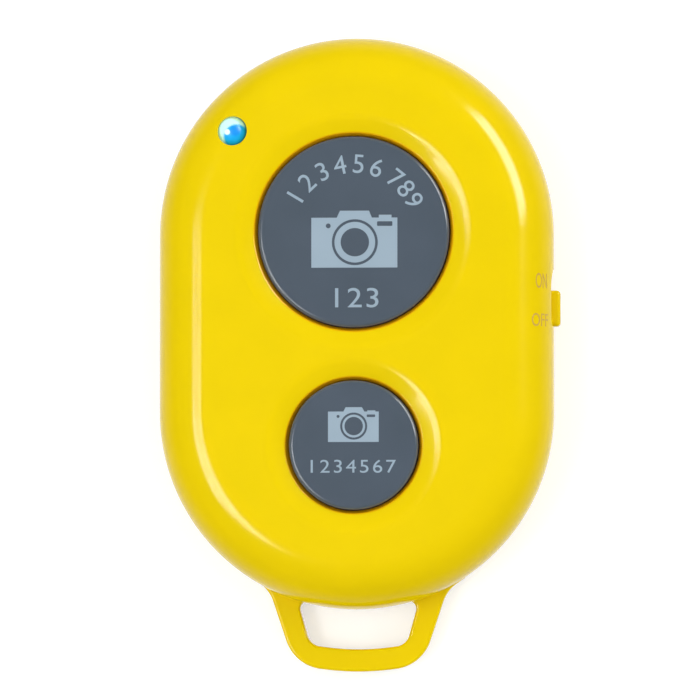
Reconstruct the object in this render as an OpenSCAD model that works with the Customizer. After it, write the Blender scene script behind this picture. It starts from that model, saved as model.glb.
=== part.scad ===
// Pocket remote for a camera shutter: two push buttons, a side slide switch, an indicator lamp, a lanyard
// loop and a coin cell behind a sliding door. X runs across the remote, +Y towards the lamp end, +Z out of
// the button face. The origin is the middle of the flat back, between the two round ends. Millimetres.

/* [Body] */
// Width across the straight sides
body_w = 39.5; // [38.5:0.1:42]
// Length without the lanyard loop
body_l = 57.2; // [56:0.1:62]
// Thickness from the flat back to the flat front
body_h = 12; // [11.8:0.1:13.5]
// Height of the seam between the two shells, as a share of the thickness
split_share = 0.45; // [0.44:0.005:0.46]
// Wall thickness of both shells
shell_wall = 1.3; // [1.1:0.05:1.4]
// Radius of the front shell's shoulder
shoulder_r = 4; // [3.2:0.1:4.4]
// Distance from the outline to where the front turns flat
flat_inset = 5; // [4.6:0.1:5.4]
// Upright band under the seam, above the rear shell's rounded edge
back_band = 0.4; // [0.3:0.05:0.8]
// Open line left at the seam
seam_gap = 0.12; // [0.05:0.01:0.2]

/* [Shell joint] */
// How far the rear shell's lip reaches past the seam
lip_h = 0.9; // [0.6:0.05:1.1]
// Thickness of the outer skin that covers the lip
lip_cover = 0.7; // [0.6:0.05:0.8]
// Clearance between the lip and the skin
lip_gap = 0.05; // [0.03:0.01:0.1]
// Length of a snap catch
catch_l = 2.6; // [1.5:0.1:3]
// Distance of the snap catches from the middle of the body
catch_y = 7.1; // [6.9:0.1:7.3]

/* [Buttons] */
// Radius of the large button's hole
large_hole_r = 9.8; // [9.2:0.1:10]
// Radius of the small button's hole
small_hole_r = 6.65; // [6:0.05:7]
// Outer radius of the dish round the large button
large_dish_r = 13; // [12.6:0.1:13.4]
// Outer radius of the dish round the small button
small_dish_r = 8.9; // [8.6:0.1:9.3]
// Distance between the two buttons' centres, as a share of the body's length
pitch_share = 0.37; // [0.365:0.001:0.375]
// Steepest slope of a dish in degrees
dish_slope = 23; // [20:1:26]
// Radius of a dish's rounded rim
dish_rim_r = 2.8; // [2.4:0.1:3]
// Gap round a button cap
cap_gap = 0.3; // [0.2:0.05:0.4]
// How far a cap stands above the edge of its hole
cap_proud = 0.35; // [0.1:0.05:0.45]
// Rounding of a cap's top edge
cap_edge_r = 0.5; // [0.3:0.05:0.7]
// Thickness of a cap's top
cap_t = 1.3; // [1:0.1:1.4]
// Thickness of a cap's side wall
cap_wall = 1.1; // [0.8:0.1:1.4]
// Width of the flange that keeps a cap in
flange_w = 0.9; // [0.7:0.1:1.1]
// Thickness of that flange
flange_t = 0.8; // [0.6:0.05:0.9]
// Play between the flange and the shell
flange_gap = 0.1; // [0.05:0.01:0.2]
// Travel of a button
button_travel = 0.3; // [0.2:0.05:0.35]

/* [Lanyard loop] */
// Reach of the loop past the body's end
loop_l = 6.25; // [6:0.05:8]
// Width of the loop's end bar
loop_bar = 2.27; // [1.8:0.01:2.3]
// Thickness of the loop
loop_t = 2.2; // [1.8:0.1:2.3]
// Height of the loop's underside above the back
loop_lift = 0.6; // [0.4:0.1:0.7]
// Half width where the loop grows out of the outline
loop_root_x = 11.05; // [10.6:0.05:11.4]
// Half width at the loop's neck
loop_neck_x = 8.95; // [8.8:0.05:9.3]
// Half width at the loop's end, before rounding
loop_foot_x = 6.4; // [6.2:0.05:7]
// Half width of the opening next to the body
loop_hole_root_x = 5.95; // [5.6:0.05:6.2]
// Half width of the opening at its far end
loop_hole_foot_x = 4.85; // [4.6:0.05:5]

/* [Slide switch] */
// Length of the knob
knob_l = 3.4; // [3:0.1:3.8]
// Height of the knob
knob_h = 2.2; // [1.9:0.1:2.3]
// How far the knob stands out of the side
knob_proud = 0.65; // [0.4:0.05:1]
// Travel between off and on
knob_travel = 2; // [1.5:0.1:2]
// Play round the knob
knob_gap = 0.1; // [0.05:0.01:0.15]
// Distance of the slot's middle from the middle of the body
slot_y = 2.45; // [2.2:0.05:2.6]
// Depth of the shallow recess round the slot
recess_depth = 0.35; // [0.2:0.05:0.4]
// Height of that recess
recess_h = 4.6; // [4.2:0.1:5]

/* [Lamp] */
// Radius of the lamp
lamp_r = 1.5; // [1.3:0.05:1.6]
// Distance of the lamp's centre from the outline
lamp_inset = 3.9; // [3.7:0.1:4.2]
// Direction from the centre of the upper round end in degrees
lamp_angle = 140; // [135:1:145]
// Depth of the lamp's tip below the level of the flat front
lamp_drop = 0; // [0:0.05:0.3]

/* [Battery and door] */
// Diameter of the coin cell
cell_d = 20; // [19:0.1:20.5]
// Thickness of the coin cell
cell_h = 3.2; // [2.8:0.1:3.3]
// Distance of the cell's centre from the middle of the body
cell_y = 6; // [5.7:0.1:6.3]
// Width of the door's visible face
door_w = 25; // [24:0.1:25.2]
// Thickness of the door
door_t = 1.2; // [1:0.05:1.25]
// Distance of the door's inner edge below the middle of the body
door_start = 6; // [5.8:0.1:6.6]
// Width of the tongues on the door's sides
tongue_w = 0.7; // [0.5:0.05:0.8]
// Thickness of those tongues
tongue_t = 0.6; // [0.5:0.05:0.65]
// Play round the door
door_gap = 0.1; // [0.05:0.01:0.12]

/* [Circuit board] */
// Thickness of the board
board_t = 0.8; // [0.6:0.05:1]
// Space between the board and the shells' inner walls
board_margin = 1.05; // [1:0.05:1.3]
// Space between the cell and the board
spring_space = 1.2; // [1.1:0.05:1.3]
// Side of a key switch
key_w = 6; // [5.5:0.1:6.4]
// Height of a key switch with its plunger, as a share of the room over the board
key_share = 0.45; // [0.44:0.005:0.46]
// Length of the slide switch's case
slider_case_l = 6.7; // [6.4:0.1:7]
// Width of the slide switch's case
slider_case_w = 2.7; // [2.5:0.1:3]
// Height of the slide switch's case
slider_case_h = 1.4; // [1.3:0.05:1.5]

/* [Hidden] */
$fn = 72;

// Overrun of every cut past the face it leaves
over = 1;
// Steps along one arc of a profile
arc_steps = 8;

// Colours
body_yellow = [0.96, 0.83, 0];
cap_grey = [0.32, 0.37, 0.42];
steel = [0.75, 0.76, 0.78];
gold = [0.85, 0.68, 0.3];
black = [0.08, 0.08, 0.09];
board_green = [0.05, 0.3, 0.16];

// Outline of the body: two half circles joined by straight sides
end_r = body_w / 2;
half_run = (body_l - body_w) / 2;

// Seam
split_z = body_h * split_share;
back_edge_r = split_z - back_band;

// Front shell's section: a side arc that is upright at the seam and touches the shoulder's arc
shoulder_x = end_r - flat_inset;
shoulder_z = body_h - shoulder_r;
shoulder_rise = shoulder_z - split_z;
side_r = (flat_inset ^ 2 + shoulder_rise ^ 2 - shoulder_r ^ 2) / (2 * (flat_inset - shoulder_r));
side_x = end_r - side_r;
side_end_angle = atan2(shoulder_rise, side_r - flat_inset);
inner_r = end_r - shell_wall;
lip_r = end_r - lip_cover;
lip_top_z = split_z + lip_h;
lip_room_z = lip_top_z + lip_gap;
catch_bite = 0.2;
catch_h = 0.3;
catch_z = split_z + lip_h / 2;

// Dishes: a convex rim arc, then a concave arc down to the hole
dish_rim_slope = 3;
dish_floor_slope = 6;
button_pitch = body_l * pitch_share;
large_y = half_run;
small_y = large_y - button_pitch;
function floor_arc_r(hole_r, dish_r) =
  (dish_r - hole_r - dish_rim_r * (sin(dish_slope) - sin(dish_rim_slope)))
  / (sin(dish_slope) - sin(dish_floor_slope));
function dish_depth(hole_r, dish_r) =
  dish_rim_r * (cos(dish_rim_slope) - cos(dish_slope))
  + floor_arc_r(hole_r, dish_r) * (cos(dish_floor_slope) - cos(dish_slope));
large_rim_z = body_h - dish_depth(large_hole_r, large_dish_r);
small_rim_z = body_h - dish_depth(small_hole_r, small_dish_r);

// Button caps
boss_r = 2.2;
cap_rib_share = 0.5;
cap_rib_t = 0.8;
tab_w = 2;
tab_reach = 0.9;
collar_gap = 0.3;
collar_wall = 1;
collar_rise_share = 0.43;

// Heights of the stack behind the buttons
cell_z = door_t + door_gap;
board_z = cell_z + cell_h + spring_space;
board_top_z = board_z + board_t;
key_h = (body_h - board_top_z) * key_share;
key_top_z = board_top_z + key_h;
front_room = large_rim_z - board_top_z;
board_r = inner_r - board_margin;

// Board screws: two beside the small button and one at the lamp end
screw_r = 0.65;
screw_gap = 0.03;
screw_head_r = 1.3;
screw_head_h = 0.6;
screw_slot = 0.3;
screw_l = 3.2;
screw_boss_r = 1.7;
screw_hole_gap = 0.2;
side_screw_inset = 4.4;
side_screw_y = -5;
end_screw_inset = 3;
screw_places = [
  [board_r - side_screw_inset, side_screw_y],
  [side_screw_inset - board_r, side_screw_y],
  [0, half_run + board_r - end_screw_inset]
];

// Places on the board, as shares of its half width and half length
function on_board(shares) = [for (p = shares) [p.x * board_r, p.y * (half_run + board_r)]];

// Rear posts that carry the board
post_r = 0.8;
post_gap = 0.05;
post_shares = [[0.89, 0.46], [-0.89, 0.46], [0.63, -0.68], [-0.63, -0.68]];
post_places = on_board(post_shares);

// Loop
loop_end_y = -body_l / 2 - loop_l;
loop_neck_in = 2;
loop_neck_y = -body_l / 2 + loop_neck_in;
loop_root_y = -half_run - sqrt(end_r ^ 2 - loop_root_x ^ 2);
loop_start_in = 1.7;
loop_start_angle = -47;
loop_start_x = (end_r - loop_start_in) * cos(loop_start_angle);
loop_start_y = -half_run + (end_r - loop_start_in) * sin(loop_start_angle);
loop_foot_rise = 0.6;
loop_sag = 0.14;
loop_root_r = 2.5;
loop_neck_r = 3.2;
loop_corner_r = 4.2;
loop_bar_r = 26;
loop_hole_tuck = 0.4;
loop_hole_y = -body_l / 2 + loop_hole_tuck;
loop_hole_rise = 0.62;
loop_hole_sag = 0.19;
loop_hole_root_r = 0.8;
loop_hole_corner_r = 1.5;
loop_hole_bar_r = 23.7;

// Door channel in the rear shell
channel_w = door_w + 2 * door_gap;
channel_z = door_t + door_gap / 2;
groove_w = channel_w + 2 * tongue_w;
groove_z = door_t - tongue_t - door_gap / 2;
tray_wall = 1;
tray_z = channel_z + tray_wall;
wide_y = 17;
grip_count = 4;
grip_w = 11;
grip_l = 0.6;
grip_pitch = 1.5;
grip_depth = 0.25;
grip_y = 2.5;
arrow_w = 4;
arrow_l = 2.6;
arrow_y = 11;

// Coin cell
cell_r = cell_d / 2;
cell_gap = 0.3;
can_t = 0.25;
can_bevel = 0.3;
can_lip = 0.4;
gasket_t = 0.35;
cell_skin_gap = 0.05;
cap_skin_t = 0.25;
can_drop = 0.2;
can_top = cell_h - can_drop;
gasket_top = cell_h - can_drop + cell_skin_gap;
cathode_t = 1.3;
separator_t = 0.1;
well_wall = 1;
well_drop = 0.1;
well_top_z = cell_z + cell_h - well_drop;

// Spring contacts
strip_t = 0.15;
contact_w = 3;
contact_play = 0.02;
contact_root_share = 0.3;
contact_bend_share = 0.62;
contact_tip_share = 0.74;
side_contact_w = 4;
side_contact_slant = 0.18;
side_contact_notch = 5.2;
side_contact_tab = 2.4;
side_contact_x = cell_r + cell_gap + well_wall;

// Key switches
key_cover_t = 0.2;
plunger_rise = 2 * button_travel;
key_base_h = key_h - key_cover_t - plunger_rise;
key_rivet_r = 0.4;
key_rivet_gap = 0.05;
key_rivet_rise = 0.1;
key_rivet_inset = 0.8;
plunger_r = 1.6;
plunger_gap = 0.08;
plunger_flange_r = 2.2;
plunger_flange_t = key_base_h * 0.2;
key_well_r = 2.4;
key_well_z = key_base_h * 0.42;
dome_r = 2.25;
dome_t = 0.08;
dome_rise = key_base_h * 0.25;
key_leg_w = 0.7;
key_leg_t = 0.2;
key_leg_foot = 1.1;
key_leg_y = 2.25;
key_leg_rise = 0.6;

// Slide switch and knob
knob_z = board_z - slider_case_h / 2;
knob_rest_y = slot_y - knob_travel / 2;
knob_edge_r = 0.4;
knob_flange_l = 1;
knob_flange_h = 0.6;
knob_flange_t = 0.7;
knob_wall_gap = 0.1;
slot_half = knob_l / 2 + knob_travel / 2 + knob_gap;
slot_z_half = knob_h / 2 + knob_gap;
recess_margin = 0.2;
recess_corner_r = 1.9;
knob_flange_x = inner_r - knob_wall_gap;
case_gap = 0.2;
case_front_x = knob_flange_x - knob_flange_t - case_gap;
case_t = 0.2;
arm_w = 1.3;
arm_h = 0.6;
arm_l = 1.35;
arm_gap = 0.05;
carriage_w = 1.9;
carriage_l = 2.2;
carriage_h = 0.7;
slider_leg_l = 0.9;
slider_leg_w = 0.5;
slider_leg_pitch = 1.5;

// Lamp
lamp_reach = end_r - lamp_inset;
lamp_h = body_h - lamp_drop - board_top_z;
lamp_flange = 0.4;
lamp_flange_h = 1;
lamp_hole_gap = 0.1;
lead_t = 0.4;
lead_pitch = 1.15;
lead_under = 0.9;
lead_rise = lamp_h * 0.44;
anvil_w = 1.1;
anvil_h = 0.8;

// Small parts on the board
chip_w = 5;
chip_h = front_room * 0.15;
chip_pad_count = 8;
chip_pad_pitch = 0.5;
chip_pad_w = 0.25;
chip_pad_l = 0.4;
chip_pad_t = 0.1;
chip_shares = [[-0.25, -0.09]];
chip_place = on_board(chip_shares)[0];
memory_w = 3.9;
memory_l = 4.9;
memory_h = front_room * 0.29;
memory_leg_w = 0.4;
memory_leg_pitch = 1.27;
memory_leg_foot = 1;
memory_leg_t = 0.2;
memory_shares = [[0.53, -0.62]];
memory_place = on_board(memory_shares)[0];
crystal_w = 3.2;
crystal_l = 2.5;
crystal_base_h = front_room * 0.084;
crystal_lid_h = front_room * 0.074;
crystal_rim = 0.25;
crystal_shares = [[0.13, -0.08]];
crystal_place = on_board(crystal_shares)[0];
small_part_l = 1;
small_part_w = 0.8;
small_part_cap = 0.3;
capacitor_h = 0.8;
resistor_h = 0.45;
capacitor_shares = [
  [0.34, -0.05], [0.34, -0.12], [-0.52, -0.04], [-0.52, -0.12], [-0.37, 0.67], [0.6, 0.53]
];
resistor_shares = [[-0.52, -0.2], [0.55, -0.05], [0.55, -0.12], [-0.58, 0.53], [0.37, 0.67]];
capacitor_places = on_board(capacitor_shares);
resistor_places = on_board(resistor_shares);
trace_t = 0.05;
trace_w = 0.5;
trace_pitch = 1.2;
trace_runs = 9;
end_room = half_run + board_r + small_y - key_w / 2;
trace_l = end_room * 0.24;
trace_inset = end_room * 0.24;
trace_y = trace_inset - half_run - board_r;

// Points along an arc, both ends included
function arc(cx, cy, r, from, to, steps = arc_steps) =
  [for (i = [0:steps]) let (a = from + (to - from) * i / steps) [cx + r * cos(a), cy + r * sin(a)]];

// The same list without its first point
function rest_of(points) = [for (i = [1:len(points) - 1]) points[i]];

// A closed outline with each corner rounded to its own radius
function unit(v) = v / norm(v);
function corner(p, a, b, r, steps = arc_steps) =
  r == 0 ? [p] :
  let (
    u = unit(a - p),
    v = unit(b - p),
    half = acos(u * v) / 2,
    centre = p + unit(u + v) * r / sin(half),
    start = p + u * r / tan(half),
    turn = cross(start - centre, p - centre) > 0 ? 1 : -1,
    first = atan2(start.y - centre.y, start.x - centre.x)
  )
  arc(centre.x, centre.y, r, first, first + turn * (180 - 2 * half), steps);
function rounded(points, radii) =
  let (n = len(points))
  [for (i = [0:n - 1]) each corner(points[i], points[(i + n - 1) % n], points[(i + 1) % n], radii[i])];

// Mirror image of a right-hand outline, in the order that closes it
function both_sides(points) =
  concat(points, [for (i = [len(points) - 1:-1:0]) if (abs(points[i].x) > 0) [-points[i].x, points[i].y]]);

// The body's outline swept with a section that is drawn outward from the outline's middle line
module swept(section) {
  for (side = [0, 180])
    rotate([0, 0, side])
      translate([0, half_run, 0])
        rotate_extrude(angle = 180)
          polygon(section);
  rotate([90, 0, 0])
    linear_extrude(2 * half_run, center = true)
      polygon(both_sides(section));
}

// A plate with the body's outline
module plate(r, z, t) {
  swept([[0, z], [r, z], [r, z + t], [0, z + t]]);
}

// A box given by its lowest corner and its highest
module box(low, high) {
  translate(low)
    cube(high - low);
}

// Angle on the front shell's side arc at a height above the seam
function side_angle(rise, r) = asin(rise / r);

// Section of the front shell's outside
module front_form() {
  swept(concat(
    [[0, split_z + seam_gap]],
    arc(side_x, split_z, side_r, side_angle(seam_gap, side_r), side_end_angle),
    rest_of(arc(shoulder_x, shoulder_z, shoulder_r, side_end_angle, 90)),
    [[0, body_h]]
  ));
}

// Space inside the front shell, stepped at its rim for the rear shell's lip
module front_space() {
  r = side_r - shell_wall;
  swept(concat(
    [[0, split_z - over], [lip_r + lip_gap, split_z - over], [lip_r + lip_gap, lip_room_z]],
    arc(side_x, split_z, r, side_angle(lip_room_z - split_z, r), side_end_angle),
    rest_of(arc(shoulder_x, shoulder_z, shoulder_r - shell_wall, side_end_angle, 90)),
    [[0, body_h - shell_wall]]
  ));
}

// Section of a dish, or with depth set, of the wall's other side that many millimetres below it
function dish_section(hole_r, dish_r, depth = 0) =
  let (
    floor_r = floor_arc_r(hole_r, dish_r),
    rim_x = dish_r + dish_rim_r * sin(dish_rim_slope),
    rim_z = body_h - dish_rim_r * cos(dish_rim_slope),
    floor_x = rim_x - (dish_rim_r + floor_r) * sin(dish_slope),
    floor_z = rim_z + (dish_rim_r + floor_r) * cos(dish_slope),
    convex = arc(rim_x, rim_z, dish_rim_r - depth, 90 + dish_rim_slope, 90 + dish_slope),
    concave = arc(floor_x, floor_z, floor_r + depth, dish_slope - 90, dish_floor_slope - 90),
    last = concave[len(concave) - 1]
  )
  concat([[0, body_h + over], [convex[0].x, body_h + over]], convex, rest_of(concave), [[0, last.y]]);

module dish(y, hole_r, dish_r, depth = 0) {
  translate([0, y, 0])
    rotate_extrude()
      polygon(dish_section(hole_r, dish_r, depth));
}

// Ring under the front shell that guides a cap's flange
module collar(y, hole_r, rim_z) {
  inner = hole_r + flange_w - cap_gap + collar_gap;
  top = rim_z - shell_wall / 2;
  bottom = board_top_z + (rim_z - board_top_z) * collar_rise_share;
  translate([0, y, bottom])
    difference() {
      cylinder(r = inner + collar_wall, h = top - bottom);
      translate([0, 0, -over])
        cylinder(r = inner, h = top - bottom + 2 * over);
      translate([-inner - 2 * collar_wall, -tab_w / 2 - collar_gap, -over])
        cube([2 * inner + 4 * collar_wall, tab_w + 2 * collar_gap, rim_z - shell_wall - bottom + over]);
    }
}

// Rounded rectangle drawn round the origin
module rounded_box_outline(half_w, half_h, r) {
  polygon(rounded(
    [[-half_w, -half_h], [half_w, -half_h], [half_w, half_h], [-half_w, half_h]],
    [r, r, r, r]
  ));
}

// Slot for the knob, the recess round it and the pocket for its flange, cut from both shells
module knob_cuts() {
  translate([end_r - recess_depth, slot_y, knob_z])
    rotate([90, 0, 90])
      linear_extrude(recess_depth + over)
        rounded_box_outline(slot_half + recess_margin, recess_h / 2, recess_corner_r);
  box([inner_r - shell_wall, slot_y - slot_half, knob_z - slot_z_half],
      [end_r + over, slot_y + slot_half, knob_z + slot_z_half]);
  pocket_y = slot_half + knob_flange_l;
  pocket_z = knob_h / 2 + knob_flange_h + knob_gap;
  box([case_front_x, slot_y - pocket_y, knob_z - pocket_z], [inner_r, slot_y + pocket_y, knob_z + pocket_z]);
}

module lamp_place() {
  translate([lamp_reach * cos(lamp_angle), half_run + lamp_reach * sin(lamp_angle), 0])
    rotate([0, 0, lamp_angle + 90])
      children();
}

// Snap catches on the straight sides, grown by a clearance when they are cut from the front shell
module catches(grow = 0) {
  for (x = [-1, 1], y = [-1, 1])
    translate([x * lip_r, y * catch_y, catch_z])
      cube([2 * (catch_bite + grow), catch_l + 2 * grow, catch_h + 2 * grow], center = true);
}

module front_shell() {
  color(body_yellow)
    difference() {
      union() {
        difference() {
          front_form();
          difference() {
            front_space();
            dish(large_y, large_hole_r, large_dish_r, shell_wall);
            dish(small_y, small_hole_r, small_dish_r, shell_wall);
          }
        }
        collar(large_y, large_hole_r, large_rim_z);
        collar(small_y, small_hole_r, small_rim_z);
        for (p = screw_places)
          translate([p.x, p.y, board_top_z])
            cylinder(r = screw_boss_r, h = body_h - shell_wall / 2 - board_top_z);
      }
      dish(large_y, large_hole_r, large_dish_r);
      dish(small_y, small_hole_r, small_dish_r);
      translate([0, large_y, split_z])
        cylinder(r = large_hole_r, h = body_h);
      translate([0, small_y, split_z])
        cylinder(r = small_hole_r, h = body_h);
      lamp_place()
        translate([0, 0, board_top_z])
          cylinder(r = lamp_r + lamp_hole_gap, h = body_h);
      for (p = screw_places)
        translate([p.x, p.y, board_top_z - over])
          cylinder(r = screw_r + screw_gap, h = screw_l - board_t + 2 * over);
      catches(lip_gap);
      knob_cuts();
    }
}

// Half of the loop's outer outline, from the body to the middle of its end bar
function loop_outline() = rounded(
  both_sides([
    [0, loop_start_y], [loop_start_x, loop_start_y], [loop_root_x, loop_root_y], [loop_neck_x, loop_neck_y],
    [loop_foot_x, loop_end_y + loop_foot_rise], [0, loop_end_y - loop_sag]
  ]),
  concat(
    [0, 0, loop_root_r, loop_neck_r, loop_corner_r, loop_bar_r],
    [loop_corner_r, loop_neck_r, loop_root_r, 0]
  )
);

// The opening, tucked in under the body's edge
function loop_hole_outline() = rounded(
  both_sides([
    [0, loop_hole_y - loop_hole_sag], [loop_hole_root_x, loop_hole_y + loop_hole_rise],
    [loop_hole_foot_x, loop_end_y + loop_bar + loop_hole_rise - loop_hole_sag],
    [0, loop_end_y + loop_bar - loop_hole_sag]
  ]),
  [end_r, loop_hole_root_r, loop_hole_corner_r, loop_hole_bar_r, loop_hole_corner_r, loop_hole_root_r]
);

module loop() {
  translate([0, 0, loop_lift])
    linear_extrude(loop_t)
      difference() {
        polygon(loop_outline());
        polygon(loop_hole_outline());
      }
}

// Rear shell's outside with the lip on top
module rear_form() {
  swept(concat(
    [[0, lip_top_z], [lip_r, lip_top_z], [lip_r, split_z], [end_r, split_z]],
    arc(end_r - back_edge_r, back_edge_r, back_edge_r, 0, -90),
    [[0, 0]]
  ));
}

module rear_space() {
  swept(concat(
    [[0, lip_top_z + over], [inner_r, lip_top_z + over]],
    arc(end_r - back_edge_r, back_edge_r, back_edge_r - shell_wall, 0, -90),
    [[0, shell_wall]]
  ));
}

// Cell's well and the tray that holds the door, left standing in the rear shell's space
module rear_fittings() {
  box([-groove_w / 2 - tray_wall, -door_start - tray_wall, 0], [groove_w / 2 + tray_wall, body_l, tray_z]);
  translate([0, cell_y, 0])
    cylinder(r = cell_r + cell_gap + well_wall, h = well_top_z);
  for (p = post_places)
    translate([p.x, p.y, 0])
      cylinder(r = post_r, h = board_z - post_gap);
}

// Channel that the door slides out of, towards the lamp end
module door_channel() {
  box([-channel_w / 2, -door_start, -over], [channel_w / 2, body_l, channel_z]);
  box([-groove_w / 2, -door_start, groove_z], [groove_w / 2, body_l, channel_z]);
  box([-groove_w / 2, wide_y, -over], [groove_w / 2, body_l, channel_z]);
}

module rear_shell() {
  color(body_yellow)
    difference() {
      union() {
        rear_form();
        loop();
      }
      difference() {
        rear_space();
        rear_fittings();
      }
      door_channel();
      translate([0, cell_y, 0])
        cylinder(r = cell_r + cell_gap, h = body_h);
      box([-side_contact_x - over, cell_y - side_contact_notch / 2, tray_z],
          [shell_wall - cell_r, cell_y + side_contact_notch / 2, board_z]);
      knob_cuts();
    }
  color(body_yellow)
    intersection() {
      catches();
      difference() {
        box([-end_r, -half_run, split_z], [end_r, half_run, lip_top_z]);
        box([-lip_r, -body_l, 0], [lip_r, body_l, body_h]);
      }
    }
}

module battery_door() {
  start = door_gap - door_start;
  color(body_yellow)
    difference() {
      intersection() {
        swept(concat(
          [[0, split_z], [end_r, split_z]],
          arc(end_r - back_edge_r, back_edge_r, back_edge_r, 0, -90),
          [[0, 0]]
        ));
        union() {
          box([-door_w / 2, start, 0], [door_w / 2, body_l, door_t]);
          box([-door_w / 2 - tongue_w, start, door_t - tongue_t], [door_w / 2 + tongue_w, body_l, door_t]);
          box([-door_w / 2 - tongue_w, wide_y + door_gap, 0], [door_w / 2 + tongue_w, body_l, door_t]);
        }
      }
      for (i = [0:grip_count - 1])
        translate([-grip_w / 2, grip_y + i * grip_pitch, -over])
          cube([grip_w, grip_l, over + grip_depth]);
      translate([0, arrow_y, -over])
        linear_extrude(over + grip_depth)
          polygon([[-arrow_w / 2, 0], [arrow_w / 2, 0], [0, arrow_l]]);
    }
}

// A cap: a hollow disc with a keeping flange, two tabs that stop it turning, and a boss on the key switch
module button_cap(y, hole_r, rim_z) {
  r = hole_r - cap_gap;
  top = rim_z + cap_proud;
  flange_top = rim_z - shell_wall - flange_gap;
  flange_r = hole_r + flange_w - cap_gap;
  bottom = flange_top - flange_t;
  rib_z = key_top_z + (top - cap_t - key_top_z) * cap_rib_share;
  color(cap_grey)
    translate([0, y, 0]) {
      rotate_extrude()
        polygon(concat(
          [[0, top - cap_t], [r - cap_wall, top - cap_t], [r - cap_wall, bottom], [flange_r, bottom],
           [flange_r, flange_top], [r, flange_top]],
          arc(r - cap_edge_r, top - cap_edge_r, cap_edge_r, 0, 90, arc_steps / 2),
          [[0, top]]
        ));
      cylinder_between(boss_r, key_top_z, top - cap_t / 2);
      for (a = [45, 135])
        rotate([0, 0, a])
          box([-r + cap_wall / 2, -cap_rib_t / 2, rib_z],
              [r - cap_wall / 2, cap_rib_t / 2, top - cap_t / 2]);
      for (a = [0, 180])
        rotate([0, 0, a])
          box([r - cap_wall / 2, -tab_w / 2, bottom], [flange_r + tab_reach, tab_w / 2, flange_top]);
    }
}

module cylinder_between(r, low, high) {
  translate([0, 0, low])
    cylinder(r = r, h = high - low);
}

// The knob's block and the flange that keeps it in, with a pocket for the switch's arm
module switch_knob() {
  pocket_h = arm_h / 2 + arm_gap;
  pocket_w = arm_w / 2 + arm_gap;
  color(body_yellow)
    translate([0, knob_rest_y, knob_z])
      difference() {
        union() {
          translate([knob_flange_x - knob_flange_t / 2, 0, 0])
            rotate([90, 0, 90])
              linear_extrude(end_r + knob_proud - knob_flange_x + knob_flange_t / 2)
                rounded_box_outline(knob_l / 2, knob_h / 2, knob_edge_r);
          box([knob_flange_x - knob_flange_t, -knob_l / 2 - knob_flange_l, -knob_h / 2 - knob_flange_h],
              [knob_flange_x, knob_l / 2 + knob_flange_l, knob_h / 2 + knob_flange_h]);
        }
        box([case_front_x, -pocket_w, -pocket_h], [case_front_x + arm_l + arm_gap, pocket_w, pocket_h]);
      }
}

module circuit_board() {
  color(board_green)
    difference() {
      plate(board_r, board_z, board_t);
      for (p = screw_places)
        translate([p.x, p.y, board_z - over])
          cylinder(r = screw_r + screw_hole_gap, h = board_t + 2 * over);
      lamp_place()
        for (x = [-1, 1])
          translate([x * lead_pitch, 0, board_z - over])
            cylinder(r = lead_t, h = board_t + 2 * over);
    }
}

module board_screws() {
  color(steel)
    for (p = screw_places)
      translate([p.x, p.y, board_z])
        difference() {
          union() {
            cylinder(r = screw_r, h = screw_l);
            translate([0, 0, -screw_head_h])
              cylinder(r = screw_head_r, h = screw_head_h);
          }
          for (a = [0, 90])
            rotate([0, 0, a])
              translate([-screw_head_r / 2, -screw_slot / 2, -screw_head_h - over])
                cube([screw_head_r, screw_slot, over + screw_head_h / 2]);
        }
}

// A meander of copper at the end of the board that is away from the cell
module antenna_trace() {
  span = (trace_runs - 1) * trace_pitch;
  color(gold)
    translate([-span / 2, trace_y, board_top_z]) {
      for (i = [0:trace_runs - 1])
        translate([i * trace_pitch, 0, 0])
          cube([trace_w, trace_l, trace_t]);
      for (i = [0:trace_runs - 2])
        translate([i * trace_pitch, i % 2 == 0 ? trace_l - trace_w : 0, 0])
          cube([trace_pitch + trace_w, trace_w, trace_t]);
    }
}

// Corners of a square, for what sits at each of them
module corners(x, y = undef) {
  for (i = [-1, 1], j = [-1, 1])
    translate([i * x, j * (is_undef(y) ? x : y), 0])
      children();
}

module key_base(y) {
  rivet = key_w / 2 - key_rivet_inset;
  color(black)
    translate([0, y, board_top_z]) {
      difference() {
        translate([-key_w / 2, -key_w / 2, 0])
          cube([key_w, key_w, key_base_h]);
        translate([0, 0, key_well_z])
          cylinder(r = key_well_r, h = key_base_h);
      }
      corners(rivet)
        cylinder(r = key_rivet_r, h = key_base_h + key_cover_t + key_rivet_rise);
    }
}

module key_cover(y) {
  rivet = key_w / 2 - key_rivet_inset;
  color(steel)
    translate([0, y, board_top_z + key_base_h])
      difference() {
        translate([-key_w / 2, -key_w / 2, 0])
          cube([key_w, key_w, key_cover_t]);
        translate([0, 0, -over])
          cylinder(r = plunger_r + plunger_gap, h = key_cover_t + 2 * over);
        corners(rivet)
          translate([0, 0, -over])
            cylinder(r = key_rivet_r + key_rivet_gap, h = key_cover_t + 2 * over);
      }
}

module key_plunger(y) {
  flange_top = board_top_z + key_base_h - plunger_gap / 2;
  color(black)
    translate([0, y, 0]) {
      cylinder_between(plunger_r, flange_top - plunger_flange_t, key_top_z);
      cylinder_between(plunger_flange_r, flange_top - plunger_flange_t, flange_top);
    }
}

// A thin domed spring disc on the floor of the switch's well
module key_dome(y) {
  bend_r = (dome_r ^ 2 + dome_rise ^ 2) / (2 * dome_rise);
  half = asin(dome_r / bend_r);
  floor_z = board_top_z + key_well_z;
  outside = arc(0, dome_rise - bend_r, bend_r, 90 - half, 90);
  inside = arc(0, dome_rise - bend_r, bend_r - dome_t, 90, 90 - half);
  color(steel)
    translate([0, y, floor_z])
      intersection() {
        rotate_extrude()
          polygon(concat(outside, inside));
        cylinder(r = dome_r + over, h = dome_rise + over);
      }
}

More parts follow.
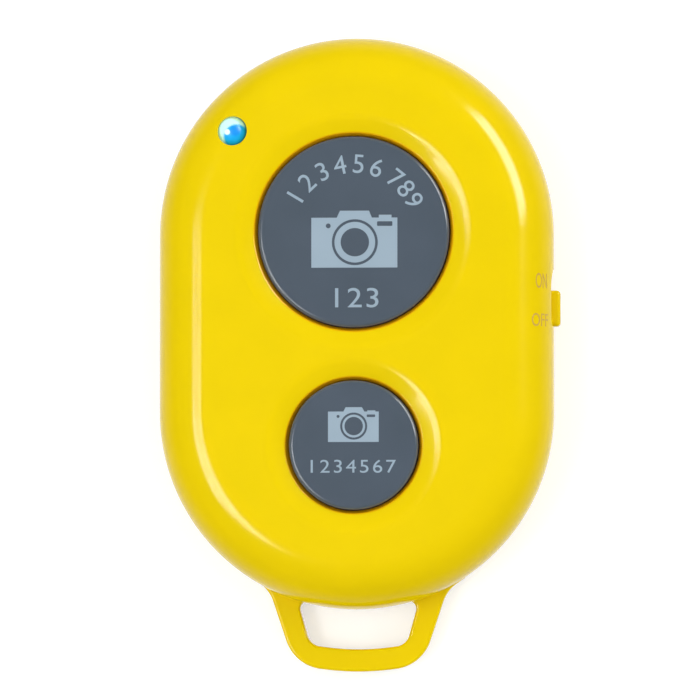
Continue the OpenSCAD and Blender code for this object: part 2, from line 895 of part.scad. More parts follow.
module key_legs(y) {
  color(steel)
    translate([0, y, board_top_z])
      for (i = [0, 180], j = [-1, 1])
        rotate([0, 0, i])
          translate([key_w / 2, j * key_leg_y - key_leg_w / 2, 0]) {
            cube([key_leg_foot, key_leg_w, key_leg_t]);
            cube([key_leg_t, key_leg_w, key_leg_rise]);
          }
}

module lead_shapes() {
  low = board_z - lead_under;
  high = board_top_z + lead_rise;
  for (x = [-1, 1])
    translate([x * lead_pitch - lead_t / 2, -lead_t / 2, low])
      cube([lead_t, lead_t, high - low]);
  translate([-lead_pitch - lead_t / 2, -lead_t / 2, high - anvil_h])
    cube([anvil_w, lead_t, anvil_h]);
}

module lamp_leads() {
  color(steel)
    lamp_place()
      lead_shapes();
}

module lamp_lens() {
  color([0.15, 0.65, 0.9])
    lamp_place()
      difference() {
        translate([0, 0, board_top_z])
          rotate_extrude()
            polygon(concat(
              [[0, 0], [lamp_r + lamp_flange, 0], [lamp_r + lamp_flange, lamp_flange_h],
               [lamp_r, lamp_flange_h]],
              arc(0, lamp_h - lamp_r, lamp_r, 0, 90)
            ));
        lead_shapes();
      }
}

// Folded steel case, open towards the board, with a slot for the arm
module slide_switch_case() {
  low = [case_front_x - slider_case_w, slot_y - slider_case_l / 2, board_z - slider_case_h];
  high = [case_front_x, slot_y + slider_case_l / 2, board_z];
  slot = arm_w / 2 + knob_travel / 2 + knob_gap;
  color(steel)
    difference() {
      box(low, high);
      box(low + [case_t, case_t, case_t], high + [-case_t, -case_t, over]);
      box([case_front_x - 2 * case_t, slot_y - slot, knob_z - arm_h / 2 - arm_gap],
          [case_front_x + over, slot_y + slot, knob_z + arm_h / 2 + arm_gap]);
    }
}

slider_low = [case_front_x - slider_case_w + case_t, slot_y - slider_case_l / 2 + case_t];
slider_high = [case_front_x - case_t, slot_y + slider_case_l / 2 - case_t];

module slide_switch_base() {
  color(black)
    box([slider_low.x, slider_low.y, knob_z + carriage_h / 2 + arm_gap],
        [slider_high.x, slider_high.y, board_z]);
}

module slide_switch_slider() {
  inner_x = case_front_x - case_t - arm_gap;
  color(black)
    translate([0, knob_rest_y, knob_z]) {
      box([inner_x - carriage_w, -carriage_l / 2, -carriage_h / 2],
          [inner_x, carriage_l / 2, carriage_h / 2]);
      box([inner_x - arm_gap, -arm_w / 2, -arm_h / 2], [case_front_x + arm_l, arm_w / 2, arm_h / 2]);
    }
}

module slide_switch_legs() {
  back = case_front_x - slider_case_w;
  color(steel)
    for (i = [-1, 0, 1])
      translate([back - slider_leg_l, slot_y + i * slider_leg_pitch - slider_leg_w / 2, board_z - case_t])
        cube([slider_leg_l, slider_leg_w, case_t]);
}

// A ring or disc of the coin cell, turned about the cell's axis
module cell_turned(section) {
  translate([0, cell_y, cell_z])
    rotate_extrude()
      polygon(section);
}

gasket_out = cell_r - can_t - cell_skin_gap;
gasket_in = gasket_out - can_lip - gasket_t;
cap_r = gasket_in - cell_skin_gap;

module battery_can() {
  lip_x = cell_r - can_t - can_lip;
  color(steel)
    cell_turned([
      [0, 0], [cell_r - can_bevel, 0], [cell_r, can_bevel], [cell_r, can_top - can_t],
      [cell_r - can_t, can_top], [lip_x, can_top], [lip_x, can_top - can_t],
      [cell_r - can_t, can_top - can_t - can_t / 2],
      [cell_r - can_t, can_t], [0, can_t]
    ]);
}

module battery_gasket() {
  neck = gasket_in + gasket_t - cell_skin_gap;
  color(black)
    cell_turned([
      [gasket_in, can_t + cell_skin_gap], [gasket_out, can_t + cell_skin_gap],
      [gasket_out, can_top - 2 * can_t], [neck, can_top - can_t - cell_skin_gap],
      [neck, gasket_top], [gasket_in, gasket_top]
    ]);
}

module battery_cap() {
  skirt = cap_r - cap_skin_t;
  color(steel)
    cell_turned([
      [0, cell_h], [cap_r - can_bevel, cell_h], [cap_r, cell_h - can_bevel],
      [cap_r, can_t + 2 * cell_skin_gap],
      [skirt, can_t + 2 * cell_skin_gap], [skirt, cell_h - can_bevel - cap_skin_t / 2],
      [skirt - can_bevel / 2, cell_h - cap_skin_t], [0, cell_h - cap_skin_t]
    ]);
}

pellet_r = cap_r - cap_skin_t - 2 * cell_skin_gap;

module battery_cathode() {
  color(black)
    cell_turned([[0, can_t], [pellet_r, can_t], [pellet_r, can_t + cathode_t], [0, can_t + cathode_t]]);
}

module battery_separator() {
  low = can_t + cathode_t;
  color("white")
    cell_turned([[0, low], [pellet_r, low], [pellet_r, low + separator_t], [0, low + separator_t]]);
}

module battery_lithium() {
  low = can_t + cathode_t + separator_t;
  high = cell_h - cap_skin_t;
  color(steel)
    cell_turned([[0, low], [pellet_r - can_bevel, low], [pellet_r - can_bevel, high], [0, high]]);
}

// A bent strip of sheet metal along points, with its thickness on one side
module strip(points, w) {
  rotate([90, 0, 0])
    linear_extrude(w, center = true)
      polygon(concat(points, [for (i = [len(points) - 1:-1:0]) points[i] + [0, strip_t]]));
}

// Touches the cell's cap from under the board with two sprung arms
module negative_contact() {
  touch_z = cell_z + cell_h + contact_play;
  base = board_z - strip_t;
  root = cap_r * contact_root_share;
  bend = cap_r * contact_bend_share;
  tip = cap_r * contact_tip_share;
  color(gold)
    translate([0, cell_y, 0])
      strip([[-tip, touch_z + 2 * strip_t], [-bend, touch_z], [-root, base], [root, base], [bend, touch_z],
             [tip, touch_z + 2 * strip_t]], contact_w);
}

// Hangs from the board and presses on the side of the cell's can, away from the slide switch
module positive_contact() {
  touch_x = cell_r + contact_play;
  leg_x = side_contact_x - strip_t * 2;
  foot = tray_z + 2 * strip_t;
  press_z = cell_z + cell_h / 2;
  top = board_z - strip_t;
  color(gold)
    translate([0, cell_y, 0])
      rotate([90, 0, 180])
        linear_extrude(side_contact_w, center = true)
          polygon([
            [leg_x, board_z], [leg_x, press_z + 4 * strip_t], [touch_x, press_z], [leg_x - strip_t, foot],
            [leg_x, foot], [touch_x + side_contact_slant, press_z], [leg_x + strip_t, press_z + 4 * strip_t],
            [leg_x + strip_t, top], [leg_x + side_contact_tab, top], [leg_x + side_contact_tab, board_z]
          ]);
}

module radio_chip() {
  color(black)
    translate([chip_place.x - chip_w / 2, chip_place.y - chip_w / 2, board_top_z + chip_pad_t])
      cube([chip_w, chip_w, chip_h]);
}

// Contacts under the four edges of the radio chip
module radio_chip_pads() {
  span = (chip_pad_count - 1) * chip_pad_pitch;
  color(gold)
    translate([chip_place.x, chip_place.y, board_top_z])
      for (side = [0:90:270], i = [0:chip_pad_count - 1])
        rotate([0, 0, side])
          translate([i * chip_pad_pitch - span / 2 - chip_pad_w / 2, chip_w / 2 - chip_pad_l, 0])
            cube([chip_pad_w, chip_pad_l, chip_pad_t]);
}

module memory_chip() {
  color(black)
    translate([memory_place.x - memory_w / 2, memory_place.y - memory_l / 2, board_top_z + memory_leg_t])
      cube([memory_w, memory_l, memory_h]);
}

module memory_chip_legs() {
  color(steel)
    translate([memory_place.x, memory_place.y, board_top_z])
      for (side = [0, 180], i = [-1.5:1:1.5])
        rotate([0, 0, side])
          translate([memory_w / 2, i * memory_leg_pitch - memory_leg_w / 2, 0]) {
            cube([memory_leg_foot, memory_leg_w, memory_leg_t]);
            cube([memory_leg_t, memory_leg_w, memory_h / 2]);
          }
}

module crystal_base() {
  color([0.8, 0.75, 0.6])
    translate([crystal_place.x - crystal_w / 2, crystal_place.y - crystal_l / 2, board_top_z])
      cube([crystal_w, crystal_l, crystal_base_h]);
}

module crystal_lid() {
  size = [crystal_w - 2 * crystal_rim, crystal_l - 2 * crystal_rim, crystal_lid_h];
  color(steel)
    translate([crystal_place.x - size.x / 2, crystal_place.y - size.y / 2, board_top_z + crystal_base_h])
      cube(size);
}

module small_parts(places, h) {
  for (p = places)
    translate([p.x - small_part_l / 2, p.y - small_part_w / 2, board_top_z])
      cube([small_part_l, small_part_w, h]);
}

module capacitors() {
  color([0.6, 0.48, 0.35])
    small_parts(capacitor_places, capacitor_h);
}

module resistors() {
  color(black)
    small_parts(resistor_places, resistor_h);
}

module end_caps(places, h) {
  for (p = places, end = [-1, 1])
    translate([p.x + end * (small_part_l + small_part_cap) / 2 - small_part_cap / 2,
               p.y - small_part_w / 2, board_top_z])
      cube([small_part_cap, small_part_w, h]);
}

module part_end_caps() {
  color(steel) {
    end_caps(capacitor_places, capacitor_h);
    end_caps(resistor_places, resistor_h);
  }
}

front_shell();
rear_shell();
battery_door();
button_cap(large_y, large_hole_r, large_rim_z);  // large_button
button_cap(small_y, small_hole_r, small_rim_z);  // small_button
switch_knob();
circuit_board();
board_screws();
antenna_trace();
key_base(large_y);  // large_key_base
key_cover(large_y);  // large_key_cover
key_plunger(large_y);  // large_key_plunger
key_dome(large_y);  // large_key_dome
key_legs(large_y);  // large_key_legs
key_base(small_y);  // small_key_base
key_cover(small_y);  // small_key_cover
key_plunger(small_y);  // small_key_plunger
key_dome(small_y);  // small_key_dome
key_legs(small_y);  // small_key_legs
lamp_lens();
lamp_leads();
slide_switch_case();
slide_switch_base();
slide_switch_slider();
slide_switch_legs();
battery_can();
battery_gasket();
battery_cap();
battery_cathode();
battery_separator();
battery_lithium();
positive_contact();
negative_contact();
radio_chip();
radio_chip_pads();
memory_chip();
memory_chip_legs();
crystal_base();
crystal_lid();
capacitors();
resistors();
part_end_caps();
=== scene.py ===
import math

import bpy
import numpy as np
from mathutils import Matrix, Vector

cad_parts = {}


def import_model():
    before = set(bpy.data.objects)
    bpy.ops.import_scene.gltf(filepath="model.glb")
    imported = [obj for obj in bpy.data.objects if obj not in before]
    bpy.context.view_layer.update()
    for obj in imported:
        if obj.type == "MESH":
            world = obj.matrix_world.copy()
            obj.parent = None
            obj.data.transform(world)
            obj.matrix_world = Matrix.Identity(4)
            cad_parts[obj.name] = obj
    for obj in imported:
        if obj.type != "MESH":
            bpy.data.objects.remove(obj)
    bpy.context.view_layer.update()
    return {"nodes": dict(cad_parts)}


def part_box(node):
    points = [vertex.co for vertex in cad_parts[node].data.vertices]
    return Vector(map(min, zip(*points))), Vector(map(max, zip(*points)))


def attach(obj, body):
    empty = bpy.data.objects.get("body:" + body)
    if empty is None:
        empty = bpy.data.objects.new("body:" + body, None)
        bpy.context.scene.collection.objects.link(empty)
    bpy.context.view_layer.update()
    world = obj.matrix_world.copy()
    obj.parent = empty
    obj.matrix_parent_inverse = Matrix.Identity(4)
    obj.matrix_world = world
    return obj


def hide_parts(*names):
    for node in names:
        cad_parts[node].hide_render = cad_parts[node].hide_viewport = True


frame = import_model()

# Looks of the pocket shutter remote. Shapes are drawn in millimetres in the part's own frame and scaled
# to metres once, when they are done. Heights and radii that the frame knows are read from its boxes.

MM = 0.001


def span(node):
    """Lowest and highest corner of a CAD node in millimetres."""
    low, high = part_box(node)
    return low / MM, high / MM


front_low, front_high = span("front_shell")
rear_high = span("rear_shell")[1]
door_high = span("battery_door")[1]
knob_low, knob_high = span("switch_knob")
lens_low, lens_high = span("lamp_lens")
board_low, board_high = span("circuit_board")

# Body, whose outline is two half circles with straight sides between them
END_R = front_high.x
HALF_RUN = front_high.y - END_R
BODY_H = front_high.z
WALL = 1.3
INNER_R = END_R - WALL
SHOULDER_R = 4.0
FLAT_INSET = 5.0
BACK_EDGE_R = 5.0

# Seam between the two shells, and the rear shell's lip behind it
SEAM_Z = 5.4
SEAM_TOP = front_low.z
SEAM_EDGE = 0.12
LIP_COVER = 0.7
LIP_R = END_R - LIP_COVER
LIP_TOP = rear_high.z
LIP_GAP = 0.05

# Section of the front shell, as in the part: a side arc, then the shoulder's arc
SHOULDER_X = END_R - FLAT_INSET
SHOULDER_Z = BODY_H - SHOULDER_R
SHOULDER_RISE = SHOULDER_Z - SEAM_Z
SIDE_R = (FLAT_INSET**2 + SHOULDER_RISE**2 - SHOULDER_R**2) / (2 * (FLAT_INSET - SHOULDER_R))
SIDE_X = END_R - SIDE_R
SIDE_END = math.degrees(math.atan2(SHOULDER_RISE, SIDE_R - FLAT_INSET))
SIDE_TOP_Z = SEAM_Z + SIDE_R * math.sin(math.radians(SIDE_END))

# Dishes round the two buttons, with slopes in degrees
DISH_START_SLOPE = 1.0
DISH_SLOPE = 21.0
DISH_RIM_R = 2.8
RIM_LIFT = 0.02

# Holes of the buttons, which narrow under their rounded edge to a small gap round the cap
HOLE_EDGE_R = 0.28
DRAFT_H = 0.42
THROAT_GAP = 0.06
COLLAR_WALL = 1.0
COLLAR_RISE_SHARE = 0.43

# Button caps with their keeping flange, tabs and boss
CAP_GAP = 0.3
CAP_EDGE_R = 0.42
CAP_WALL = 1.1
CAP_T = 1.3
FLANGE_W = 0.9
FLANGE_T = 0.8
FLANGE_GAP = 0.1
TAB_W = 2.0
BOSS_R = 2.2

# Board screws' bosses inside the front shell
SCREW_HEAD_R = 1.3
SCREW_BOSS_R = 1.7
SCREW_HOLE_R = 0.68
SCREW_HOLE_DEPTH = 3.4

# Slide switch: its knob, slot, recess round the slot and pockets behind it
KNOB_X = knob_high.x
KNOB_Y = (knob_low.y + knob_high.y) / 2
KNOB_Z = (knob_low.z + knob_high.z) / 2
KNOB_L = 3.6
KNOB_H = 2.2
KNOB_EDGE = 0.38
KNOB_CORNER_R = 0.4
KNOB_FLANGE_T = 0.7
KNOB_TRAVEL = 2.0
SLOT_GAP = 0.1
SLOT_Y = KNOB_Y + KNOB_TRAVEL / 2
RECESS_DEPTH = 0.35
RECESS_H = 4.6
RECESS_MARGIN = 0.08
RECESS_R = 1.9
RECESS_EDGE = 0.15
POCKET_X = 17.45
POCKET_MARGIN = 1.0
POCKET_MARGIN_Z = 0.6
ARM_POCKET_L = 1.4
ARM_POCKET_H = 0.7
ARM_POCKET_GAP = 0.05

# Lamp, a little beside its solid, with a dome that ends in a tiny flat
LAMP_SHIFT_X, LAMP_SHIFT_Y = 0.1, -0.13
lamp_x = (lens_low.x + lens_high.x) / 2 + LAMP_SHIFT_X
lamp_y = (lens_low.y + lens_high.y) / 2 + LAMP_SHIFT_Y
LAMP = Vector((lamp_x, lamp_y, 0))
LAMP_R = 1.44
LAMP_TOP_ANGLE = 89
LAMP_GAP = 0.03
LAMP_FLANGE_R = (lens_high.x - lens_low.x) / 2
LAMP_FLANGE_H = 1.0

# Lanyard loop and its opening
LOOP_LIFT = 0.6
LOOP_T = 2.2
LOOP_EDGE = 0.28
LOOP_LENGTH = 6.25
LOOP_END_Y = -HALF_RUN - END_R - LOOP_LENGTH
LOOP_BAR = 2.27
LOOP_START_INSET = 1.7
LOOP_START_ANGLE = -47
LOOP_ROOT_X, LOOP_ROOT_R = 11.35, 3.2
LOOP_NECK_X, LOOP_NECK_RISE, LOOP_NECK_R = 8.95, 2.0, 3.6
LOOP_FOOT_X, LOOP_FOOT_RISE, LOOP_FOOT_R = 6.4, 0.6, 4.2
LOOP_END_SAG, LOOP_END_R = 0.14, 26
OPENING_GAP = 0.4
OPENING_SAG = 0.19
OPENING_FOOT_X, OPENING_FOOT_RISE, OPENING_FOOT_R = 4.85, 0.43, 1.5
OPENING_TOP_X, OPENING_TOP_RISE, OPENING_TOP_R = 6.12, 0.62, 0.8
OPENING_END_R = 23.7

# Door with its tongues, grip ridges and arrow
DOOR_W = 25.0
DOOR_GAP = 0.1
DOOR_START = -6.0
TONGUE_W = 0.7
TONGUE_T = 0.6
DOOR_T = door_high.z
WIDE_Y = 17.0
DOOR_EDGE = 0.12
TRAY_WALL = 1.0
GRIP_W, GRIP_L, GRIP_PITCH, GRIP_DEPTH, GRIP_Y, GRIP_COUNT = 11.0, 0.6, 1.5, 0.25, 2.5, 4
ARROW_W, ARROW_L, ARROW_Y = 4.0, 2.6, 11.0

# Coin cell's well with the contact's notch, and the posts under the board
CELL_Y = 6.0
CELL_WELL_R = 10.3
CELL_WALL = 1.0
CELL_WELL_TOP = 4.4
CONTACT_NOTCH_L = 5.2
CONTACT_NOTCH_X = 8.7
POST_R = 0.8
POST_GAP = 0.05
POST_PLACE_SHARES = ((0.89, 0.46), (0.63, -0.68))

# Steps round half of the outline, and round full circles from large to small
HALF_STEPS = 72
ROUND_STEPS = 160
WELL_STEPS = 96
RING_STEPS = 72
KEY_BOSS_STEPS = 64
SCREW_BOSS_STEPS = 48
POST_STEPS = 32
DOT_STEPS = 24

# Steps along arcs and rounded edges
DOME_STEPS = 24
ARC_STEPS = 20
LOOP_CORNER_STEPS = 16
CAP_EDGE_STEPS = 12
KNOB_EDGE_STEPS = 8
CORNER_STEPS = 8
EDGE_STEPS = 5

# Overrun of cuts, and the shortest length that anything is divided by
OVER = 1.0
TINY = 1e-9

# Edges that turn by more degrees than this stay sharp
SHARP_ANGLE = 32

# A face takes the normals of a surface that is this close and faces its way, by their cosine
SKIN_GAP = 0.006
SAME_WAY = 0.9

CORNER_SIGNS = ((-1, -1), (1, -1), (1, 1), (-1, 1))


def cos(a):
    return math.cos(math.radians(a))


def sin(a):
    return math.sin(math.radians(a))


def arc(cx, cy, r, start, end, steps=ARC_STEPS):
    """Points along an arc, both ends included, with angles in degrees."""
    return [(cx + r * cos(a), cy + r * sin(a)) for a in np.linspace(start, end, steps + 1)]


def new_object(name, data):
    obj = bpy.data.objects.new(name, data)
    bpy.context.scene.collection.objects.link(obj)
    return obj


def add_mesh(name, points, faces):
    mesh = bpy.data.meshes.new(name)
    mesh.from_pydata([tuple(p) for p in points], [], faces)
    return new_object(name, mesh)


def skin(name, rings):
    """Closed solid through rings of equally many points, with both ends filled."""
    n = len(rings[0])
    faces = [
        (i * n + j, i * n + (j + 1) % n, (i + 1) * n + (j + 1) % n, (i + 1) * n + j)
        for i in range(len(rings) - 1)
        for j in range(n)
    ]
    faces.append(tuple(reversed(range(n))))
    faces.append(tuple(range((len(rings) - 1) * n, len(rings) * n)))
    return add_mesh(name, [p for ring in rings for p in ring], faces)


def swept(name, chain):
    """Solid with the body's outline, from a chain of (distance from the middle line, height)."""
    ends = [(HALF_RUN, 0), (-HALF_RUN, 180)]
    turn = np.linspace(0, 180, HALF_STEPS + 1)
    rings = [[(s * cos(f + a), y + s * sin(f + a), z) for y, f in ends for a in turn] for s, z in chain]
    return skin(name, rings)


def turned(name, chain, x=0.0, y=0.0, steps=ROUND_STEPS):
    """Solid of revolution from a chain of (radius, height)."""
    turn = np.linspace(0, 360, steps, endpoint=False)
    return skin(name, [[(x + s * cos(a), y + s * sin(a), z) for a in turn] for s, z in chain])


def box(low, high):
    (x0, y0, z0), (x1, y1, z1) = low, high
    corners = [(x0, y0), (x1, y0), (x1, y1), (x0, y1)]
    return skin("box", [[(x, y, z) for x, y in corners] for z in (z0, z1)])


def rounded(points, radii, steps):
    """Closed outline with each corner rounded to its own radius."""
    made = []
    for i, (p, r) in enumerate(zip(points, radii)):
        p = Vector(p)
        if not r:
            made.append(p)
            continue
        u = (Vector(points[i - 1]) - p).normalized()
        v = (Vector(points[(i + 1) % len(points)]) - p).normalized()
        half = u.angle(v) / 2
        centre = p + (u + v).normalized() * r / math.sin(half)
        first = p + u * r / math.tan(half) - centre
        turn = math.pi - 2 * half
        side = 1 if first.x * (p - centre).y - first.y * (p - centre).x > 0 else -1
        made += [centre + Matrix.Rotation(side * turn * k / steps, 2) @ first for k in range(steps + 1)]
    return made


def circle(x, y, r, steps):
    return [(x + r * cos(a), y + r * sin(a)) for a in np.linspace(0, 360, steps, endpoint=False)]


def grown(outline, d):
    """A counter-clockwise outline moved outward by d."""
    pts = np.array([tuple(p) for p in outline])
    ahead = np.roll(pts, -1, 0) - pts
    ahead /= np.linalg.norm(ahead, axis=1)[:, None]
    normal = np.stack([ahead[:, 1], -ahead[:, 0]], 1)
    before = np.roll(normal, 1, 0)
    return pts + d * (normal + before) / (1 + (normal * before).sum(1))[:, None]


def plate(name, outline, low, high, low_edge=0.0, high_edge=0.0):
    """Flat plate over a counter-clockwise outline, with rounded edges."""
    turn = np.linspace(0, 90, EDGE_STEPS + 1)
    levels = [(-low_edge * (1 - sin(a)), low + low_edge * (1 - cos(a))) for a in turn]
    levels += [(-high_edge * (1 - cos(a)), high - high_edge * (1 - sin(a))) for a in turn]
    if not low_edge:
        levels = [(0, low)] + levels[EDGE_STEPS + 1 :]
    if not high_edge:
        levels = levels[: -EDGE_STEPS - 1] + [(0, high)]
    return skin(name, [[(x, y, z) for x, y in grown(outline, d)] for d, z in levels])


def side_tool(outline, levels):
    """Solid along X through a counter-clockwise outline in (y, z), grown by d at each (x, d) of levels."""
    return skin("side", [[(x, y, z) for y, z in grown(outline, d)] for x, d in levels])


def rect(half_w, half_h, r, cx=0.0, cy=0.0, steps=CORNER_STEPS):
    corners = [(cx + i * half_w, cy + j * half_h) for i, j in CORNER_SIGNS]
    return rounded(corners, [r] * 4, steps)


def seen_mesh(obj):
    return bpy.data.meshes.new_from_object(obj.evaluated_get(bpy.context.evaluated_depsgraph_get()))


def bake(obj):
    """Replaces an object's mesh by what its modifiers make of it."""
    obj.data = seen_mesh(obj)
    obj.modifiers.clear()


def combine(obj, how, *tools):
    """Unites, cuts or intersects a solid with the tools, which are used up."""
    for tool in tools:
        step = obj.modifiers.new(how, "BOOLEAN")
        step.operation = how
        step.solver = "EXACT"
        step.object = tool
    bake(obj)
    for tool in tools:
        bpy.data.objects.remove(tool)
    return obj


def join(obj, *others):
    """Puts other meshes into one object without cutting them."""
    points = [v.co.copy() for v in obj.data.vertices]
    faces = [tuple(p.vertices) for p in obj.data.polygons]
    for other in others:
        base = len(points)
        points += [v.co.copy() for v in other.data.vertices]
        faces += [tuple(base + i for i in p.vertices) for p in other.data.polygons]
        bpy.data.objects.remove(other)
    name = obj.name
    bpy.data.objects.remove(obj)
    return add_mesh(name, points, faces)


def read(collection, key, width):
    """A property of every item of a collection, in rows of so many numbers."""
    values = np.zeros(len(collection) * width)
    collection.foreach_get(key, values)
    return values.reshape(-1, width)


def to_metres(mesh, material):
    """Scales a finished mesh to metres and gives it its only material."""
    mesh.transform(Matrix.Scale(MM, 4))
    mesh.materials.clear()
    mesh.materials.append(material)


def solid_done(obj, body, material, surfaces=(), node=None):
    """Smooths a finished piece, scales it to metres, gives it its material and body, and hides the CAD node
    that it replaces.

    Faces that lie on one of the surfaces take its exact normals, so a cut leaves no mark in the gloss."""
    mesh = obj.data
    mesh.polygons.foreach_set("use_smooth", [True] * len(mesh.polygons))
    mesh.set_sharp_from_angle(angle=math.radians(SHARP_ANGLE))
    smooth = obj.modifiers.new("smooth", "WEIGHTED_NORMAL")
    smooth.keep_sharp = True
    bake(obj)
    mesh = obj.data
    if surfaces:
        place = read(mesh.vertices, "co", 3)
        centres = read(mesh.polygons, "center", 3)
        facing = read(mesh.polygons, "normal", 3)
        normals = np.array([tuple(n.vector) for n in mesh.corner_normals])
        corner = read(mesh.loops, "vertex_index", 1)[:, 0].astype(int)
        sides = read(mesh.polygons, "loop_total", 1)[:, 0].astype(int)
        owner = np.repeat(np.arange(len(mesh.polygons)), sides)
        free = np.ones(len(mesh.polygons), bool)
        for surface in surfaces:
            gap, normal = surface(centres)
            on = free & (np.abs(gap) < SKIN_GAP) & ((normal * facing).sum(1) > SAME_WAY)
            free &= ~on
            mine = on[owner]
            normals[mine] = surface(place[corner[mine]])[1]
        mesh.normals_split_custom_set(normals)
    to_metres(mesh, material)
    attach(obj, body)
    if node:
        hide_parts(node)


def unit_rows(v):
    return v / np.maximum(np.linalg.norm(v, axis=1), TINY)[:, None]


def off_middle(p):
    """Distance of points from the body's middle line, and its direction in the plane."""
    y = p[:, 1] - np.clip(p[:, 1], -HALF_RUN, HALF_RUN)
    flat = np.stack([p[:, 0], y, np.zeros(len(p))], 1)
    return np.linalg.norm(flat, axis=1), unit_rows(flat)


def on_arc(s, z, out, cx, cz, r):
    """Gap to an arc of a section, and its outward normal in space."""
    flat = np.stack([s - cx, z - cz], 1)
    length = np.maximum(np.linalg.norm(flat, axis=1), TINY)
    normal = out * (flat[:, 0] / length)[:, None]
    normal[:, 2] += flat[:, 1] / length
    return length - r, normal


def pick(mask, a, b):
    """Gaps and normals of the first surface where the mask holds, and of the second elsewhere."""
    return np.where(mask, a[0], b[0]), np.where(mask[:, None], a[1], b[1])


def level(p, z, up):
    """Gap to a level face and its normal."""
    return p[:, 2] - z, np.tile([0.0, 0.0, up], (len(p), 1))


def front_skin(p):
    """Gap to the outside of the front shell and its outward normal."""
    s, out = off_middle(p)
    side = on_arc(s, p[:, 2], out, SIDE_X, SEAM_Z, SIDE_R)
    shoulder = on_arc(s, p[:, 2], out, SHOULDER_X, SHOULDER_Z, SHOULDER_R)
    found = pick(p[:, 2] < SIDE_TOP_Z, side, shoulder)
    return pick(s < SHOULDER_X, level(p, BODY_H, 1.0), found)


def rear_skin(p):
    """Gap to the outside of the rear shell and its outward normal."""
    s, out = off_middle(p)
    edge = on_arc(s, p[:, 2], out, END_R - BACK_EDGE_R, BACK_EDGE_R, BACK_EDGE_R)
    found = pick(p[:, 2] > BACK_EDGE_R, (s - END_R, out), edge)
    return pick(s < END_R - BACK_EDGE_R, level(p, 0.0, -1.0), found)


class Well:
    """A button's hole with the dish round it: a rim arc, a longer arc down to the hole and a rounded edge."""

    def __init__(self, node, dish_r, hole_slope, spread=0.0):
        low, high = span(node)
        self.node = node
        self.y = (low.y + high.y) / 2
        self.cap_top = high.z
        self.key_top = low.z
        self.flange_r = (high.y - low.y) / 2
        self.tab_x = high.x
        self.hole_r = self.flange_r - FLANGE_W + CAP_GAP + spread
        self.cap_r = self.hole_r - CAP_GAP
        self.rim_x = dish_r
        self.rim_z = BODY_H - DISH_RIM_R
        self.turn_x = dish_r - DISH_RIM_R * sin(DISH_SLOPE)
        self.slope_r = (self.turn_x - self.hole_r) / (sin(hole_slope) - sin(DISH_SLOPE))
        self.slope_x = self.turn_x + self.slope_r * sin(DISH_SLOPE)
        self.slope_z = self.rim_z + (DISH_RIM_R - self.slope_r) * cos(DISH_SLOPE)
        self.hole_slope = hole_slope
        self.hole_z = self.slope_z + self.slope_r * cos(hole_slope)
        reach = self.slope_r - HOLE_EDGE_R
        self.edge_x = self.hole_r + HOLE_EDGE_R
        self.edge_slope = math.degrees(math.asin((self.slope_x - self.edge_x) / reach))
        self.edge_z = self.slope_z + reach * cos(self.edge_slope)

    def dish(self, inset, first_slope):
        """Section of the dish from a slope out to just above the flat front, moved inward by inset."""
        chain = arc(self.slope_x, self.slope_z, self.slope_r - inset, 90 + first_slope, 90 + DISH_SLOPE)
        rim = arc(self.rim_x, self.rim_z, DISH_RIM_R - inset, 90 + DISH_SLOPE, 90 + DISH_START_SLOPE)
        rim_x, rim_z = rim[-1]
        far_x = rim_x + RIM_LIFT / math.tan(math.radians(DISH_START_SLOPE))
        return chain + rim[1:] + [(far_x, rim_z + RIM_LIFT), (far_x, BODY_H + OVER)]

    def cutter(self):
        """Hole and dish in one, to cut from the shell."""
        throat_r = self.cap_r + THROAT_GAP
        chain = [(throat_r, SEAM_Z), (throat_r, self.edge_z - DRAFT_H)]
        chain += arc(self.edge_x, self.edge_z, HOLE_EDGE_R, 180, 90 + self.edge_slope, EDGE_STEPS)
        return turned("well", chain + self.dish(0, self.edge_slope)[1:], y=self.y)

    def underside(self):
        """The dish's wall seen from inside, one wall thickness under it."""
        return turned("underside", self.dish(WALL, self.hole_slope), y=self.y)

    def collar(self):
        """Ring inside the shell round the cap's flange, open for the tabs."""
        inner = self.flange_r + CAP_GAP
        low = board_high.z + (self.hole_z - board_high.z) * COLLAR_RISE_SHARE
        high = self.hole_z - WALL / 2
        ring = turned("collar", [(inner + COLLAR_WALL, low), (inner + COLLAR_WALL, high)], y=self.y)
        bore = turned("bore", [(inner, low - OVER), (inner, high + OVER)], y=self.y)
        slot_x, slot_y = inner + 2 * COLLAR_WALL, TAB_W / 2 + CAP_GAP
        slot = box((-slot_x, self.y - slot_y, low - OVER), (slot_x, self.y + slot_y, self.hole_z - WALL))
        return combine(ring, "DIFFERENCE", bore, slot)

    def radial(self, p):
        flat = p * [1, 1, 0] - [0, self.y, 0]
        return np.linalg.norm(flat, axis=1), unit_rows(flat)

    def slope(self, p):
        """Gap to the dish and its outward normal."""
        r, out = self.radial(p)
        rim = on_arc(r, p[:, 2], out, self.rim_x, self.rim_z, DISH_RIM_R)
        side = on_arc(r, p[:, 2], out, self.slope_x, self.slope_z, self.slope_r)
        gap, normal = pick(r > self.turn_x, rim, side)
        inside = (r < self.rim_x) & (r > self.edge_x - HOLE_EDGE_R * sin(self.edge_slope))
        return np.where(inside, gap, OVER), normal

    def edge(self, p):
        """Gap to the hole's rounded edge and its outward normal."""
        r, out = self.radial(p)
        gap, normal = on_arc(r, p[:, 2], out, self.edge_x, self.edge_z, HOLE_EDGE_R)
        rounded_part = (r < self.edge_x) & (p[:, 2] > self.edge_z)
        return np.where(rounded_part, gap, OVER), normal


large = Well("large_button", dish_r=12.0, hole_slope=26)
small = Well("small_button", dish_r=8.98, hole_slope=24, spread=0.07)
WELLS = (large, small)


# Shells


